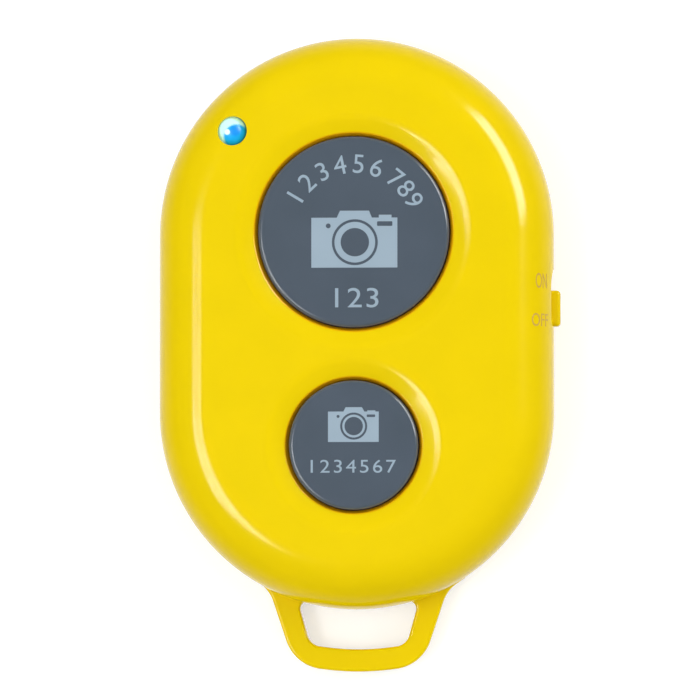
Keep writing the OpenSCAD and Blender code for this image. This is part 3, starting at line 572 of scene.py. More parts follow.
def knob_tools():
    """Recess, slot and pocket of the slide switch, cut from both shells."""
    slot_l = KNOB_L / 2 + KNOB_TRAVEL / 2 + SLOT_GAP
    slot_h = KNOB_H / 2 + SLOT_GAP
    floor_x = END_R - RECESS_DEPTH
    edge = RECESS_EDGE
    turn = np.linspace(90 / EDGE_STEPS, 90, EDGE_STEPS)
    recess = side_tool(
        rect(slot_l + RECESS_MARGIN, RECESS_H / 2, RECESS_R, SLOT_Y, KNOB_Z, ARC_STEPS),
        [(floor_x, -edge)]
        + [(floor_x + edge * (1 - cos(a)), -edge * (1 - sin(a))) for a in turn]
        + [(END_R + OVER, 0)],
    )
    slot = side_tool(
        rect(slot_l - edge, slot_h - edge, edge, SLOT_Y, KNOB_Z),
        [(INNER_R - WALL, edge), (floor_x - edge, edge), (END_R + OVER, edge)],
    )
    pocket_l, pocket_h = slot_l + POCKET_MARGIN, slot_h + POCKET_MARGIN_Z
    low_corner = (POCKET_X, SLOT_Y - pocket_l, KNOB_Z - pocket_h)
    pocket = box(low_corner, (INNER_R, SLOT_Y + pocket_l, KNOB_Z + pocket_h))
    return recess, slot, pocket


def screw_places():
    """Middles of the three board screws."""
    low, high = span("board_screws")
    y = low.y + SCREW_HEAD_R
    return [(high.x - SCREW_HEAD_R, y), (low.x + SCREW_HEAD_R, y), (0, high.y - SCREW_HEAD_R)]


def front_shell(material):
    start = math.degrees(math.asin((SEAM_TOP + SEAM_EDGE - SEAM_Z) / SIDE_R))
    edge_x = SIDE_X + SIDE_R * cos(start) - SEAM_EDGE
    chain = arc(edge_x, SEAM_TOP + SEAM_EDGE, SEAM_EDGE, -90, 0, EDGE_STEPS)
    chain += arc(SIDE_X, SEAM_Z, SIDE_R, start, SIDE_END)[1:]
    chain += arc(SHOULDER_X, SHOULDER_Z, SHOULDER_R, SIDE_END, 90)[1:]
    shell = swept("front_shell_skin", chain)
    room_z = LIP_TOP + LIP_GAP
    inner_start = math.degrees(math.asin((room_z - SEAM_Z) / (SIDE_R - WALL)))
    room = [(LIP_R + LIP_GAP, SEAM_Z - OVER), (LIP_R + LIP_GAP, room_z)]
    room += arc(SIDE_X, SEAM_Z, SIDE_R - WALL, inner_start, SIDE_END)
    room += arc(SHOULDER_X, SHOULDER_Z, SHOULDER_R - WALL, SIDE_END, 90)[1:]
    space = combine(swept("space", room), "DIFFERENCE", *[well.underside() for well in WELLS])
    combine(shell, "DIFFERENCE", space)
    low, high = board_high.z, BODY_H - WALL / 2
    bore_top = low + SCREW_HOLE_DEPTH
    bosses = [
        turned("boss", [(SCREW_BOSS_R, low), (SCREW_BOSS_R, high)], x, y, SCREW_BOSS_STEPS)
        for x, y in screw_places()
    ]
    combine(shell, "UNION", *[well.collar() for well in WELLS], *bosses)
    holes = [
        turned("hole", [(SCREW_HOLE_R, low - OVER), (SCREW_HOLE_R, bore_top)], x, y, POST_STEPS)
        for x, y in screw_places()
    ]
    lamp_r = LAMP_R + LAMP_GAP
    lamp = turned("lamp", [(lamp_r, low), (lamp_r, BODY_H + OVER)], LAMP.x, LAMP.y, WELL_STEPS)
    combine(shell, "DIFFERENCE", *[well.cutter() for well in WELLS], lamp, *holes, *knob_tools())
    surfaces = [front_skin, large.edge, small.edge, large.slope, small.slope]
    solid_done(shell, "casing", material, surfaces, "front_shell")


def loop_outline():
    """The loop's outer edge, counter-clockwise, from inside the body to its end bar and back."""
    start_r = END_R - LOOP_START_INSET
    start = (start_r * cos(LOOP_START_ANGLE), -HALF_RUN + start_r * sin(LOOP_START_ANGLE))
    root = (LOOP_ROOT_X, -HALF_RUN - math.sqrt(END_R**2 - LOOP_ROOT_X**2))
    neck = (LOOP_NECK_X, -HALF_RUN - END_R + LOOP_NECK_RISE)
    foot = (LOOP_FOOT_X, LOOP_END_Y + LOOP_FOOT_RISE)
    right = [start, root, neck, foot]
    left = [(-x, y) for x, y in right]
    points = left + [(0, LOOP_END_Y - LOOP_END_SAG)] + right[::-1]
    radii = [0, LOOP_ROOT_R, LOOP_NECK_R, LOOP_FOOT_R]
    return rounded(points, radii + [LOOP_END_R] + radii[::-1], LOOP_CORNER_STEPS)


def loop_hole():
    """The loop's opening, counter-clockwise."""
    top_y = -HALF_RUN - END_R + OPENING_GAP
    bar_y = LOOP_END_Y + LOOP_BAR
    right = [(OPENING_FOOT_X, bar_y + OPENING_FOOT_RISE), (OPENING_TOP_X, top_y + OPENING_TOP_RISE)]
    left = [(-x, y) for x, y in right[::-1]]
    points = [(0, bar_y - OPENING_SAG)] + right + [(0, top_y - OPENING_SAG)] + left
    side = [OPENING_FOOT_R, OPENING_TOP_R]
    return rounded(points, [OPENING_END_R] + side + [END_R] + side[::-1], LOOP_CORNER_STEPS)


def loop_solid():
    high = LOOP_LIFT + LOOP_T
    loop = plate("loop", loop_outline(), LOOP_LIFT, high, LOOP_EDGE, LOOP_EDGE)
    turn = np.linspace(90, 0, EDGE_STEPS + 1)
    levels = [(LOOP_EDGE, LOOP_LIFT - OVER)]
    levels += [(LOOP_EDGE * (1 - cos(a)), LOOP_LIFT + LOOP_EDGE * (1 - sin(a))) for a in turn]
    levels += [(LOOP_EDGE * (1 - cos(a)), high - LOOP_EDGE * (1 - sin(a))) for a in turn[::-1]]
    levels += [(LOOP_EDGE, high + OVER)]
    hole = skin("hole", [[(x, y, z) for x, y in grown(loop_hole(), d)] for d, z in levels])
    return combine(loop, "DIFFERENCE", hole)


def back_chain():
    """Section of the rear shell's outside, up to the seam."""
    chain = arc(END_R - BACK_EDGE_R, BACK_EDGE_R, BACK_EDGE_R, -90, 0)
    return chain + arc(END_R - SEAM_EDGE, SEAM_Z - SEAM_EDGE, SEAM_EDGE, 0, 90, EDGE_STEPS)


def rear_shell(material):
    shell = swept("rear_shell_skin", back_chain() + [(LIP_R, SEAM_Z), (LIP_R, LIP_TOP)])
    combine(shell, "UNION", loop_solid())
    room = arc(END_R - BACK_EDGE_R, BACK_EDGE_R, BACK_EDGE_R - WALL, -90, 0)
    space = swept("space", room + [(INNER_R, LIP_TOP + OVER)])
    groove = DOOR_W / 2 + DOOR_GAP + TONGUE_W
    channel_z = DOOR_T + DOOR_GAP / 2
    far = END_R + HALF_RUN + OVER
    tray_w, tray_top = groove + TRAY_WALL, channel_z + TRAY_WALL
    tray = box((-tray_w, DOOR_START - TRAY_WALL, -OVER), (tray_w, far, tray_top))
    well_r = CELL_WELL_R + CELL_WALL
    well = turned("well", [(well_r, -OVER), (well_r, CELL_WELL_TOP)], 0, CELL_Y, WELL_STEPS)
    half_w, half_l = board_high.x, board_high.y
    post = [(POST_R, -OVER), (POST_R, board_low.z - POST_GAP)]
    posts = [
        turned("post", post, side * x_share * half_w, y_share * half_l, POST_STEPS)
        for x_share, y_share in POST_PLACE_SHARES
        for side in (-1, 1)
    ]
    combine(space, "DIFFERENCE", tray, well, *posts)
    combine(shell, "DIFFERENCE", space)
    plain = DOOR_W / 2 + DOOR_GAP
    channel = box((-plain, DOOR_START, -OVER), (plain, far, channel_z))
    grooves = box((-groove, DOOR_START, DOOR_T - TONGUE_T - DOOR_GAP / 2), (groove, far, channel_z))
    wide = box((-groove, WIDE_Y, -OVER), (groove, far, channel_z))
    bore = turned("bore", [(CELL_WELL_R, -2 * OVER), (CELL_WELL_R, BODY_H)], 0, CELL_Y, WELL_STEPS)
    notch_low = (-well_r - OVER, CELL_Y - CONTACT_NOTCH_L / 2, tray_top)
    notch = box(notch_low, (-CONTACT_NOTCH_X, CELL_Y + CONTACT_NOTCH_L / 2, board_low.z))
    combine(shell, "DIFFERENCE", channel, grooves, wide, bore, notch, *knob_tools())
    solid_done(shell, "casing", material, [rear_skin], "rear_shell")


def battery_door(material):
    start, far = DOOR_START + DOOR_GAP, END_R + HALF_RUN + OVER

    def slab(half_w, y, low, low_edge):
        outline = [(-half_w, y), (half_w, y), (half_w, far), (-half_w, far)]
        return plate("slab", outline, low, DOOR_T, low_edge)

    wide = DOOR_W / 2 + TONGUE_W
    door = slab(DOOR_W / 2, start, 0, DOOR_EDGE)
    tongues = slab(wide, start, DOOR_T - TONGUE_T, 0)
    combine(door, "UNION", tongues, slab(wide, WIDE_Y + DOOR_GAP, 0, DOOR_EDGE))
    combine(door, "INTERSECT", swept("form", back_chain()))
    cuts = [
        box((-GRIP_W / 2, y, -OVER), (GRIP_W / 2, y + GRIP_L, GRIP_DEPTH))
        for y in [GRIP_Y + i * GRIP_PITCH for i in range(GRIP_COUNT)]
    ]
    arrow = [(-ARROW_W / 2, ARROW_Y), (ARROW_W / 2, ARROW_Y), (0, ARROW_Y + ARROW_L)]
    combine(door, "DIFFERENCE", plate("arrow", arrow, -OVER, GRIP_DEPTH), *cuts)
    door.name = "battery_door_skin"
    solid_done(door, "battery_door", material, [rear_skin], "battery_door")


# Controls


def button_cap(well, body, name, material):
    """Hollow cap with a keeping flange and tabs; its visible edge is rounded."""
    r, top = well.cap_r, well.cap_top
    flange_top = well.hole_z - WALL - FLANGE_GAP
    low = flange_top - FLANGE_T
    chain = [(r - CAP_WALL, top - CAP_T), (r - CAP_WALL, low), (well.flange_r, low)]
    chain += [(well.flange_r, flange_top), (r, flange_top)]
    chain += arc(r - CAP_EDGE_R, top - CAP_EDGE_R, CAP_EDGE_R, 0, 90, CAP_EDGE_STEPS)
    cap = turned(name, chain, y=well.y)
    boss_chain = [(BOSS_R, well.key_top), (BOSS_R, top - CAP_T / 2)]
    boss = turned("boss", boss_chain, y=well.y, steps=KEY_BOSS_STEPS)
    tabs = [
        box((min(x), well.y - TAB_W / 2, low), (max(x), well.y + TAB_W / 2, flange_top))
        for x in ((-well.tab_x, CAP_WALL / 2 - r), (r - CAP_WALL / 2, well.tab_x))
    ]
    combine(cap, "UNION", boss, *tabs)
    solid_done(cap, body, material, node=well.node)


def switch_knob(material):
    """Block with rounded edges, on a flange behind the wall with a pocket for the slider's arm."""
    flange_x = knob_low.x + KNOB_FLANGE_T
    turn = np.linspace(0, 90, KNOB_EDGE_STEPS + 1)
    levels = [(flange_x - KNOB_FLANGE_T / 2, 0), (KNOB_X - KNOB_EDGE, 0)]
    levels += [(KNOB_X - KNOB_EDGE * (1 - sin(a)), -KNOB_EDGE * (1 - cos(a))) for a in turn[1:]]
    block = side_tool(rect(KNOB_L / 2, KNOB_H / 2, KNOB_CORNER_R, KNOB_Y, KNOB_Z), levels)
    flange = box(tuple(knob_low), (flange_x, knob_high.y, knob_high.z))
    arm_end = span("slide_switch_slider")[1].x
    half_l, half_h = ARM_POCKET_L / 2, ARM_POCKET_H / 2
    low_corner = (knob_low.x - OVER, KNOB_Y - half_l, KNOB_Z - half_h)
    pocket = box(low_corner, (arm_end + ARM_POCKET_GAP, KNOB_Y + half_l, KNOB_Z + half_h))
    combine(block, "UNION", flange)
    combine(block, "DIFFERENCE", pocket)
    block.name = "switch_knob_skin"
    solid_done(block, "power_switch", material, node="switch_knob")


def lamp_lens(material):
    top = lens_high.z
    chain = [(LAMP_FLANGE_R, lens_low.z), (LAMP_FLANGE_R, lens_low.z + LAMP_FLANGE_H)]
    chain += [(LAMP_R, lens_low.z + LAMP_FLANGE_H)]
    chain += arc(0, top - LAMP_R, LAMP_R, 0, LAMP_TOP_ANGLE, DOME_STEPS)
    lens = turned("lamp_lens_skin", chain, LAMP.x, LAMP.y, WELL_STEPS)
    solid_done(lens, "casing", material, node="lamp_lens")


# Print on the buttons and beside the switch

# Thickness of the print, how much of it sinks in, and details of its shapes
INK_T = 0.025
INK_SINK = 0.01
ICON_CORNER_R = 0.08
GLYPH_STEPS = 6

# Digits in an arc: first angle, last angle and text of each group
ARC_TEXT = ((149.1, 69.9, "123456"), (51.4, 27.3, "789"))
ARC_TEXT_R = 6.75
DIGIT_H = 1.85


def curve_to_mesh(name, curve):
    obj = new_object(name, curve)
    bpy.context.view_layer.update()
    mesh = seen_mesh(obj)
    bpy.data.objects.remove(obj)
    return new_object(name, mesh)


def ink_mesh(name, outlines):
    """Thin flat mesh of closed outlines; one inside another is a hole."""
    curve = bpy.data.curves.new(name, "CURVE")
    curve.dimensions = "2D"
    curve.fill_mode = "BOTH"
    curve.extrude = INK_T / 2
    for outline in outlines:
        spline = curve.splines.new("POLY")
        spline.points.add(len(outline) - 1)
        spline.points.foreach_set("co", [c for x, y in outline for c in (x, y, 0, 1)])
        spline.use_cyclic_u = True
    return curve_to_mesh(name, curve)


def glyphs(name, text, height, width=0.0, spacing=1.0):
    """Characters in the built-in font, set round the origin at a height and, if given, a width."""
    curve = bpy.data.curves.new(name, "FONT")
    curve.body = text
    curve.extrude = INK_T / 2
    curve.resolution_u = GLYPH_STEPS
    curve.space_character = spacing
    obj = curve_to_mesh(name, curve)
    place = read(obj.data.vertices, "co", 3)
    low, high = place.min(0), place.max(0)
    up = height / (high - low)[1]
    across = width / (high - low)[0] if width else up
    place[:, :2] = (place[:, :2] - (low + high)[:2] / 2) * (across, up)
    obj.data.vertices.foreach_set("co", place.ravel())
    return obj


def ink_done(obj, well, body, material, x=0.0, y=0.0):
    """Lays a print on a cap, moved by x and y from the cap's middle."""
    obj.data.transform(Matrix.Translation((x, well.y + y, well.cap_top + INK_T / 2 - INK_SINK)))
    obj.data.polygons.foreach_set("use_smooth", [False] * len(obj.data.polygons))
    to_metres(obj.data, material)
    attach(obj, body)
    return obj


def pictogram(left, right, foot, top, hump_foot, hump_top, hump_rise, bar, bar_rise, lens, rings, dot, slot):
    """Outlines of a plain camera: a box with a hump and a release bar, a lens of rings, a dot and a slot."""
    hump_y, bar_y = top + hump_rise, top + bar_rise
    body = [(left, foot), (right, foot), (right, top)]
    body += [(bar[1], top), (bar[1], bar_y), (bar[0], bar_y), (bar[0], top)]
    body += [(hump_foot[1], top), (hump_top[1], hump_y), (hump_top[0], hump_y), (hump_foot[0], top)]
    body += [(left, top)]
    slot_x, slot_y, slot_half_w, slot_half_h = slot
    slot_outline = rect(slot_half_w, slot_half_h, ICON_CORNER_R, slot_x, slot_y)
    return [body] + [circle(*lens, r, RING_STEPS) for r in rings] + [circle(*dot, DOT_STEPS), slot_outline]


def arc_digits():
    """The digits round the top of the large cap as one piece."""
    digits = []
    for first, last, text in ARC_TEXT:
        for i, digit in enumerate(text):
            angle = first + (last - first) * i / (len(text) - 1)
            turn = Matrix.Rotation(math.radians(angle - 90), 4, "Z")
            piece = glyphs("digit", digit, DIGIT_H)
            piece.data.transform(turn @ Matrix.Translation((0, ARC_TEXT_R, 0)))
            digits.append(piece)
    scale = join(*digits)
    scale.name = "large_button_scale"
    return scale


def large_print(material):
    icon = pictogram(
        left=-4.18,
        right=4.36,
        foot=-3.57,
        top=1.39,
        hump_foot=(-1.66, 1.83),
        hump_top=(-1.33, 1.55),
        hump_rise=0.69,
        bar=(2.52, 3.78),
        bar_rise=0.28,
        lens=(0.14, -1.05),
        rings=(2.28, 2.02, 1.41),
        dot=(-2.5, 0.58, 0.24),
        slot=(3.11, 0.79, 0.76, 0.23),
    )
    ink_done(ink_mesh("large_button_pictogram", icon), large, "large_button", material)
    ink_done(arc_digits(), large, "large_button", material)
    row = glyphs("large_button_number", "123", height=1.95, width=4.3, spacing=1.1)
    ink_done(row, large, "large_button", material, x=0.33, y=-6.56)


def small_print(material):
    icon = pictogram(
        left=-2.51,
        right=2.52,
        foot=0.3,
        top=3.31,
        hump_foot=(-0.98, 1.1),
        hump_top=(-0.76, 0.85),
        hump_rise=0.43,
        bar=(1.39, 2.19),
        bar_rise=0.11,
        lens=(0.04, 1.87),
        rings=(1.34, 1.13, 0.91),
        dot=(-1.51, 2.83, 0.15),
        slot=(1.75, 2.89, 0.42, 0.13),
    )
    ink_done(ink_mesh("small_button_pictogram", icon), small, "small_button", material)
    row = glyphs("small_button_number", "1234567", height=1.29, width=8.45, spacing=1.2)
    ink_done(row, small, "small_button", material, y=-2.11)


def side_mark(name, text, y, width, height, middle, material):
    """A word printed on the slope beside the switch, bent onto its section.

    Its middle is measured along the section, from where the flat front ends."""
    obj = glyphs(name, text, height, width)
    place = read(obj.data.vertices, "co", 3)
    along = place[:, 0] + middle
    shoulder_run = math.radians(90 - SIDE_END) * SHOULDER_R
    on_shoulder = along < shoulder_run
    side_angle = math.radians(SIDE_END) - (along - shoulder_run) / SIDE_R
    angle = np.where(on_shoulder, np.pi / 2 - along / SHOULDER_R, side_angle)
    cx = np.where(on_shoulder, SHOULDER_X, SIDE_X)
    cz = np.where(on_shoulder, SHOULDER_Z, SEAM_Z)
    r = np.where(on_shoulder, SHOULDER_R, SIDE_R) + place[:, 2] + INK_T / 2 - INK_SINK / 2
    bent = np.stack([cx + r * np.cos(angle), place[:, 1] + y, cz + r * np.sin(angle)], 1)
    obj.data.vertices.foreach_set("co", bent.ravel())
    to_metres(obj.data, material)
    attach(obj, "casing")
    return obj


# Materials

# Most of a noise lies between these two values
NOISE_LOW, NOISE_HIGH = 0.3, 0.7

# Height of the fine waves in metres, and their usual strength
WAVE_HEIGHT = 0.00001
WAVE_STRENGTH = 0.3

# How far a noise is squeezed along each axis
EVEN = (1, 1, 1)
BRUSHED = (1, 12, 1)


def srgb(r, g, b):
    """Linear colour from 8-bit sRGB values."""
    parts = [c / 255 for c in (r, g, b)]
    return tuple(c / 12.92 if c <= 0.04045 else ((c + 0.055) / 1.055) ** 2.4 for c in parts) + (1.0,)


# Plastics, ceramics and powders: two colours, a range of roughness, then the strength of the waves
# and the index of refraction where they aren't the usual ones
SHELL_PLASTIC = (srgb(242, 211, 0), srgb(246, 214, 0), (0.12, 0.14), 0.1, 1.3)
PLASTICS = {
    "shell_yellow": SHELL_PLASTIC,
    "cap_grey": (srgb(82, 93, 105), srgb(86, 97, 110), (0.1, 0.13), 0.1, 1.6),
    "board_green": (srgb(12, 84, 48), srgb(18, 104, 60), (0.3, 0.42)),
    "black_plastic": (srgb(24, 24, 26), srgb(34, 34, 37), (0.4, 0.52)),
    "tan_ceramic": (srgb(168, 132, 96), srgb(186, 150, 112), (0.5, 0.62)),
    "cathode_black": (srgb(20, 20, 21), srgb(32, 32, 33), (0.7, 0.85), 0.6),
    "separator_white": (srgb(222, 222, 220), srgb(236, 236, 234), (0.8, 0.95), 0.7),
}

# Metals: two colours, a range of roughness, and the squeeze of the noise
METALS = {
    "tinned_steel": (srgb(196, 198, 202), srgb(214, 216, 220), (0.22, 0.34), EVEN),
    "gold_plate": (srgb(214, 176, 92), srgb(230, 194, 112), (0.2, 0.3), EVEN),
    "cell_steel": (srgb(200, 200, 198), srgb(220, 220, 217), (0.18, 0.32), BRUSHED),
    "lithium_grey": (srgb(140, 142, 148), srgb(168, 170, 176), (0.45, 0.6), EVEN),
}

# Prints: a range of roughness, the strength of the waves and the index of refraction
PRINT_FINISH = ((0.2, 0.26), 0.1, 1.3)

# Painted shade: a deeper amber painted on the hole walls round the caps, where the gaps lie in shade
PAINTED_GAP_SHADE = srgb(240, 172, 0)


def new_material(name, **sockets):
    """Principled material whose even values sit on the shader's own sockets."""
    made = bpy.data.materials.new(name)
    made.use_nodes = True
    shader = made.node_tree.nodes["Principled BSDF"]
    for key, value in sockets.items():
        shader.inputs[key.replace("_", " ")].default_value = value
    return made, made.node_tree, shader


def add(tree, kind, **values):
    """New node, with each value set on the socket or else the property of its name."""
    node = tree.nodes.new("ShaderNode" + kind)
    for key, value in values.items():
        if key in node.inputs:
            node.inputs[key].default_value = value
        else:
            setattr(node, key, value)
    return node


def feed(tree, socket, value):
    """Links a socket to another node's output, or sets it to a plain value."""
    if isinstance(value, bpy.types.NodeSocket):
        tree.links.new(value, socket)
    else:
        socket.default_value = value


def mapped(tree, source, start, end, low=0.0, high=1.0, **settings):
    """Maps the range from start to end onto the one from low to high, and holds it there."""
    node = add(tree, "MapRange", **settings)
    names = ("Value", "From Min", "From Max", "To Min", "To Max")
    for name, value in zip(names, (source, start, end, low, high)):
        feed(tree, node.inputs[name], value)
    return node.outputs["Result"]


def maths(tree, kind, operation, *values, output="Value"):
    """Result of a node that computes with plain values and other nodes' outputs."""
    node = add(tree, kind, operation=operation)
    for socket, value in zip(node.inputs, values):
        feed(tree, socket, value)
    return node.outputs[output]


def join_colours(tree, factor, near, far):
    """Mixes two colours, each a value or an output of another node."""
    mix = add(tree, "Mix", data_type="RGBA")
    tree.links.new(factor, mix.inputs["Factor"])
    for name, value in (("A", near), ("B", far)):
        feed(tree, next(s for s in mix.inputs if s.name == name and s.type == "RGBA"), value)
    return next(s for s in mix.outputs if s.type == "RGBA")


def grain(tree, per_metre, detail=3.0, stretch=EVEN):
    """Noise in object space, with so many features a metre."""
    scale = add(tree, "Mapping", Scale=stretch)
    noise = add(tree, "TexNoise", Scale=per_metre, Detail=detail)
    tree.links.new(add(tree, "TexCoord").outputs["Object"], scale.inputs["Vector"])
    tree.links.new(scale.outputs["Vector"], noise.inputs["Vector"])
    return noise.outputs["Fac"]


def vary(tree, shader, socket, source, low, high):
    """Drives a socket from a noise between two values or two colours."""
    if isinstance(low, tuple):
        ramp = add(tree, "ValToRGB")
        ends = ((NOISE_LOW, low), (NOISE_HIGH, high))
        for element, (position, colour) in zip(ramp.color_ramp.elements, ends):
            element.position = position
            element.color = colour
        tree.links.new(source, ramp.inputs["Fac"])
        value = ramp.outputs["Color"]
    else:
        value = mapped(tree, source, NOISE_LOW, NOISE_HIGH, low, high)
    tree.links.new(value, shader.inputs[socket])


def rough_surface(tree, shader, per_metre, strength, stretch=EVEN):
    bump = add(tree, "Bump", Strength=strength, Distance=WAVE_HEIGHT)
    tree.links.new(grain(tree, per_metre, detail=2.0, stretch=stretch), bump.inputs["Height"])
    tree.links.new(bump.outputs["Normal"], shader.inputs["Normal"])


def moulded(name, low, high, gloss, waves=WAVE_STRENGTH, ior=1.5):
    """Moulded plastic: faint colour drift, uneven gloss and a fine waviness from the mould."""
    made, tree, shader = new_material(name, IOR=ior)
    vary(tree, shader, "Base Color", grain(tree, per_metre=160), low, high)
    vary(tree, shader, "Roughness", grain(tree, per_metre=1500), *gloss)
    rough_surface(tree, shader, per_metre=900, strength=waves)
    return made


def metal(name, low, high, gloss, stretch):
    made, tree, shader = new_material(name, Metallic=1.0)
    vary(tree, shader, "Base Color", grain(tree, per_metre=300, stretch=stretch), low, high)
    vary(tree, shader, "Roughness", grain(tree, per_metre=900, stretch=stretch), *gloss)
    rough_surface(tree, shader, per_metre=2000, strength=WAVE_STRENGTH, stretch=stretch)
    return made


def spot(tree, x, y, inner, outer):
    """0 within a circle seen from above, in millimetres, rising to 1 further out."""
    place = add(tree, "TexCoord").outputs["Object"]
    offset = maths(tree, "VectorMath", "SUBTRACT", place, Vector((x, y, 0)) * MM, output="Vector")
    flat = maths(tree, "VectorMath", "MULTIPLY", offset, (1, 1, 0), output="Vector")
    length = maths(tree, "VectorMath", "LENGTH", flat)
    return mapped(tree, length, inner * MM, outer * MM, interpolation_type="SMOOTHSTEP")


def lamp_material():
    """Tinted dome lit from inside: blue at the lower right, teal at its foot, with a pale painted reflection
    at the upper left and a small painted white highlight left of the middle, both also glowing.
    """
    finish = {"IOR": 1.35, "Roughness": 0.4, "Specular_IOR_Level": 0.3, "Emission_Strength": 0.3}
    made, tree, shader = new_material("lamp_glow", **finish)

    def ring(x, y, inner, outer):
        return spot(tree, LAMP.x + x, LAMP.y + y, inner, outer)

    deep, blue, painted_reflection = srgb(6, 138, 226), srgb(14, 166, 238), srgb(198, 244, 252)
    painted_glint, teal = srgb(222, 250, 255), srgb(0, 112, 112)
    colour = join_colours(tree, ring(x=0.3, y=0.0, inner=0.3, outer=0.7), deep, blue)
    # painted reflection: a pale crescent at the upper left, also fed to the glow
    colour = join_colours(tree, ring(x=0.45, y=-0.65, inner=1.14, outer=1.46), colour, painted_reflection)
    # painted highlight: a small white glint left of the middle, also fed to the glow
    colour = join_colours(tree, ring(x=-0.5, y=-0.12, inner=0.2, outer=0.34), painted_glint, colour)
    colour = join_colours(tree, ring(x=-0.2, y=0.08, inner=1.3, outer=1.62), colour, teal)
    tree.links.new(colour, shader.inputs["Base Color"])
    tree.links.new(colour, shader.inputs["Emission Color"])
    return made


def front_material():
    """The shell's plastic, with painted shade: a deeper amber painted down in the holes round the two caps.
    """
    made = moulded("shell_yellow_front", *SHELL_PLASTIC)
    tree = made.node_tree
    base = tree.nodes["Principled BSDF"].inputs["Base Color"]
    colour = base.links[0].from_socket
    for well in WELLS:
        # painted shade: the hole walls take the deeper amber, fading out over their rounded edge
        painted_shade_mask = spot(tree, 0, well.y, well.hole_r, well.edge_x)
        colour = join_colours(tree, painted_shade_mask, PAINTED_GAP_SHADE, colour)
    tree.links.new(colour, base)
    return made


def make_materials():
    """One material for each slot in the record, by the slot's name."""
    made = {name: moulded(name, *values) for name, values in PLASTICS.items()}
    made.update({name: metal(name, *values) for name, values in METALS.items()})
    made["lamp_blue"] = lamp_material()
    return made


def dress_nodes(materials):
    """Gives every CAD node the material of its slot in the record."""
    for obj in frame["nodes"].values():
        slots = [m.name for m in obj.data.materials if m]
        slot = next(s for s in materials for m in slots if m.startswith(s))
        for i in range(len(obj.data.materials)):
            obj.data.materials[i] = materials[slot]


# Stage, lights and camera

# Point at the picture's middle, tilt of the view in degrees, and distance in metres
MIDDLE = Vector((-0.64, -2.66, 6.0)) * MM
VIEW_X, VIEW_Y = 3.1, -2.43
DISTANCE = 0.6
FOCAL_PX = 6000
FRAME_PX = 700
SENSOR_W = 36
NEAR, FAR = 0.01, 10

# Aim and distance of both lamps, and how much wider each one is in the gloss
LAMP_AIM = Vector((0, 0, 0.008))
LAMP_DISTANCE = 0.6
GLOSS_SPREAD = 2.1

# Half width of the floor and its drop under the remote in metres
FLOOR_HALF = 3.0
FLOOR_DROP = 0.00002

# In the gloss the surroundings are bright only below this height of the direction
GLOSS_DARK_FROM = -0.3
WHITE = (1, 1, 1, 1)


def aimed(place, across, up, back):
    """Matrix of a camera or lamp that looks away from back."""
    return Matrix.Translation(place) @ Matrix((across, up, back)).transposed().to_4x4()


def camera():
    data = bpy.data.cameras.new("camera")
    data.sensor_width = SENSOR_W
    data.lens = FOCAL_PX * data.sensor_width / FRAME_PX
    data.clip_start, data.clip_end = NEAR, FAR
    obj = new_object("camera", data)
    back = Vector((sin(VIEW_X), sin(VIEW_Y), 0))
    back.z = math.sqrt(1 - back.length_squared)
    across = Vector((0, 1, 0)).cross(back).normalized()
    obj.matrix_world = aimed(MIDDLE + back * DISTANCE, across, back.cross(across), back)
    bpy.context.scene.camera = obj


def panel(name, matrix, length, width, radiance):
    """Rectangular lamp with an even radiance."""
    data = bpy.data.lights.new(name, "AREA")
    data.shape = "RECTANGLE"
    data.size, data.size_y = length, width
    data.energy = radiance * math.pi * length * width
    obj = new_object(name, data)
    obj.matrix_world = matrix
    return obj


def soft_edges(data, middle, fades):
    """Fades a panel along each axis, from a first distance from its middle out to a second one."""
    data.use_nodes = True
    tree = data.node_tree
    place = add(tree, "NewGeometry").outputs["Position"]
    offset = maths(tree, "VectorMath", "SUBTRACT", place, middle, output="Vector")
    value = 1.0
    for axis, start, end in fades:
        along = maths(tree, "VectorMath", "DOT_PRODUCT", offset, axis)
        fade = mapped(tree, along, start, end, 1.0, 0.0, interpolation_type="SMOOTHSTEP")
        value = maths(tree, "Math", "MULTIPLY", fade, value)
    tree.links.new(value, tree.nodes["Emission"].inputs["Strength"])


def softbox(name, back, along, length, width, level, gloss, end_shares):
    """Lamp that faces the remote: one panel lights it, a wider one that fades only shows in its gloss.

    The end shares say how far from the middle the fade starts, towards the near and the far end of along."""
    back = back.normalized()
    up = back.cross(along).normalized()
    run = up.cross(back)
    matrix = aimed(LAMP_AIM + back * LAMP_DISTANCE, run, up, back)
    light = panel(f"{name}_light", matrix, length, width, level)
    light.visible_glossy = False
    shine = panel(f"{name}_gloss", matrix, length, width * GLOSS_SPREAD, gloss)
    shine.visible_diffuse = False
    half_w, half_l = width * GLOSS_SPREAD / 2, length / 2
    fades = [(up, 0.0, half_w), (-up, 0.0, half_w)]
    fades += [(axis, share * half_l, half_l) for axis, share in zip((-run, run), end_shares) if share < 1]
    soft_edges(shine.data, matrix.translation, fades)


def lights():
    softbox(
        "left",
        back=Vector((-0.475, -0.12, 0.87)),
        along=Vector((0, 1, 0)),
        length=0.32,
        width=0.155,
        level=4.9,
        gloss=44,
        end_shares=(1.0, 0.3),
    )
    right = Vector((0.78, 0.44, 0.44))
    softbox(
        "right",
        back=right,
        along=Vector((0, 0, 1)).cross(right),
        length=0.42,
        width=0.16,
        level=3.7,
        gloss=56,
        end_shares=(0.75, 0.85),
    )


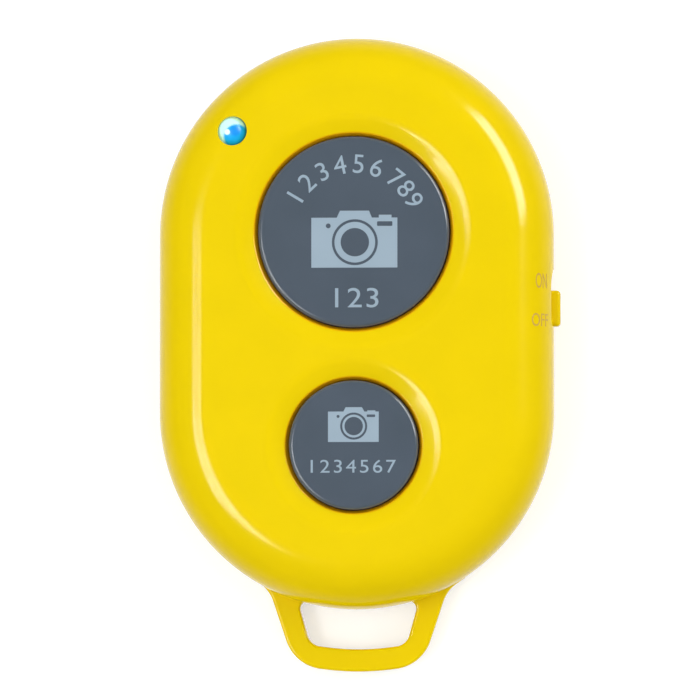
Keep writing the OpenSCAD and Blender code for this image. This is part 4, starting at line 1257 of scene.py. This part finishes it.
def floor(grey, seen):
    """Light table under the remote: it glows only towards the camera, and else is a grey sheet."""
    colours = {"Base_Color": (grey, grey, grey, 1), "Emission_Color": WHITE}
    made, tree, shader = new_material("floor", Roughness=0.9, **colours)
    to_camera = add(tree, "LightPath").outputs["Is Camera Ray"]
    tree.links.new(mapped(tree, to_camera, 0.0, 1.0, 0.0, seen), shader.inputs["Emission Strength"])
    corners = [(i * FLOOR_HALF, j * FLOOR_HALF, 0) for i, j in CORNER_SIGNS]
    obj = add_mesh("floor", corners, [(0, 1, 2, 3)])
    obj.location.z = -FLOOR_DROP
    obj.data.materials.append(made)
    obj.visible_glossy = False


def world(seen, overhead, level, slant, gloss_below, gloss_above):
    """White surroundings: their light grows from level to overhead and towards the lamp end of the remote.

    In the gloss they are bright only below, where the light table is."""
    studio = bpy.data.worlds.new("studio")
    bpy.context.scene.world = studio
    studio.use_nodes = True
    tree = studio.node_tree
    background = tree.nodes["Background"]
    background.inputs["Color"].default_value = WHITE
    rays = add(tree, "LightPath").outputs
    axes = add(tree, "SeparateXYZ")
    tree.links.new(add(tree, "TexCoord").outputs["Generated"], axes.inputs["Vector"])
    y, z = axes.outputs["Y"], axes.outputs["Z"]
    light = mapped(tree, z, 0.0, 1.0, level, overhead)
    light = maths(tree, "Math", "MULTIPLY_ADD", y, slant, light)
    gloss = mapped(tree, z, -1.0, GLOSS_DARK_FROM, gloss_below, gloss_above)
    light = mapped(tree, rays["Is Glossy Ray"], 0.0, 1.0, light, gloss)
    light = mapped(tree, rays["Is Camera Ray"], 0.0, 1.0, light, seen)
    tree.links.new(light, background.inputs["Strength"])


camera()
world(seen=1.0, overhead=0.78, level=0.75, slant=0.12, gloss_below=1.0, gloss_above=0.04)
floor(grey=0.6, seen=0.55)
lights()

MATERIALS = make_materials()
INK = moulded("print_grey", srgb(156, 176, 191), srgb(161, 181, 196), *PRINT_FINISH)
MARK = moulded("print_side", srgb(214, 174, 72), srgb(220, 180, 80), *PRINT_FINISH)

YELLOW, GREY = MATERIALS["shell_yellow"], MATERIALS["cap_grey"]

dress_nodes(MATERIALS)
front_shell(front_material())
rear_shell(YELLOW)
battery_door(YELLOW)
button_cap(large, "large_button", "large_button_cap", GREY)
button_cap(small, "small_button", "small_button_cap", GREY)
switch_knob(YELLOW)
lamp_lens(MATERIALS["lamp_blue"])
large_print(INK)
small_print(INK)
side_mark("mark_on", "ON", y=4.05, width=2.05, height=1.5, middle=4.86, material=MARK)
side_mark("mark_off", "OFF", y=0.14, width=2.9, height=1.3, middle=4.7, material=MARK)

bpy.context.scene.view_settings.view_transform = "Standard"
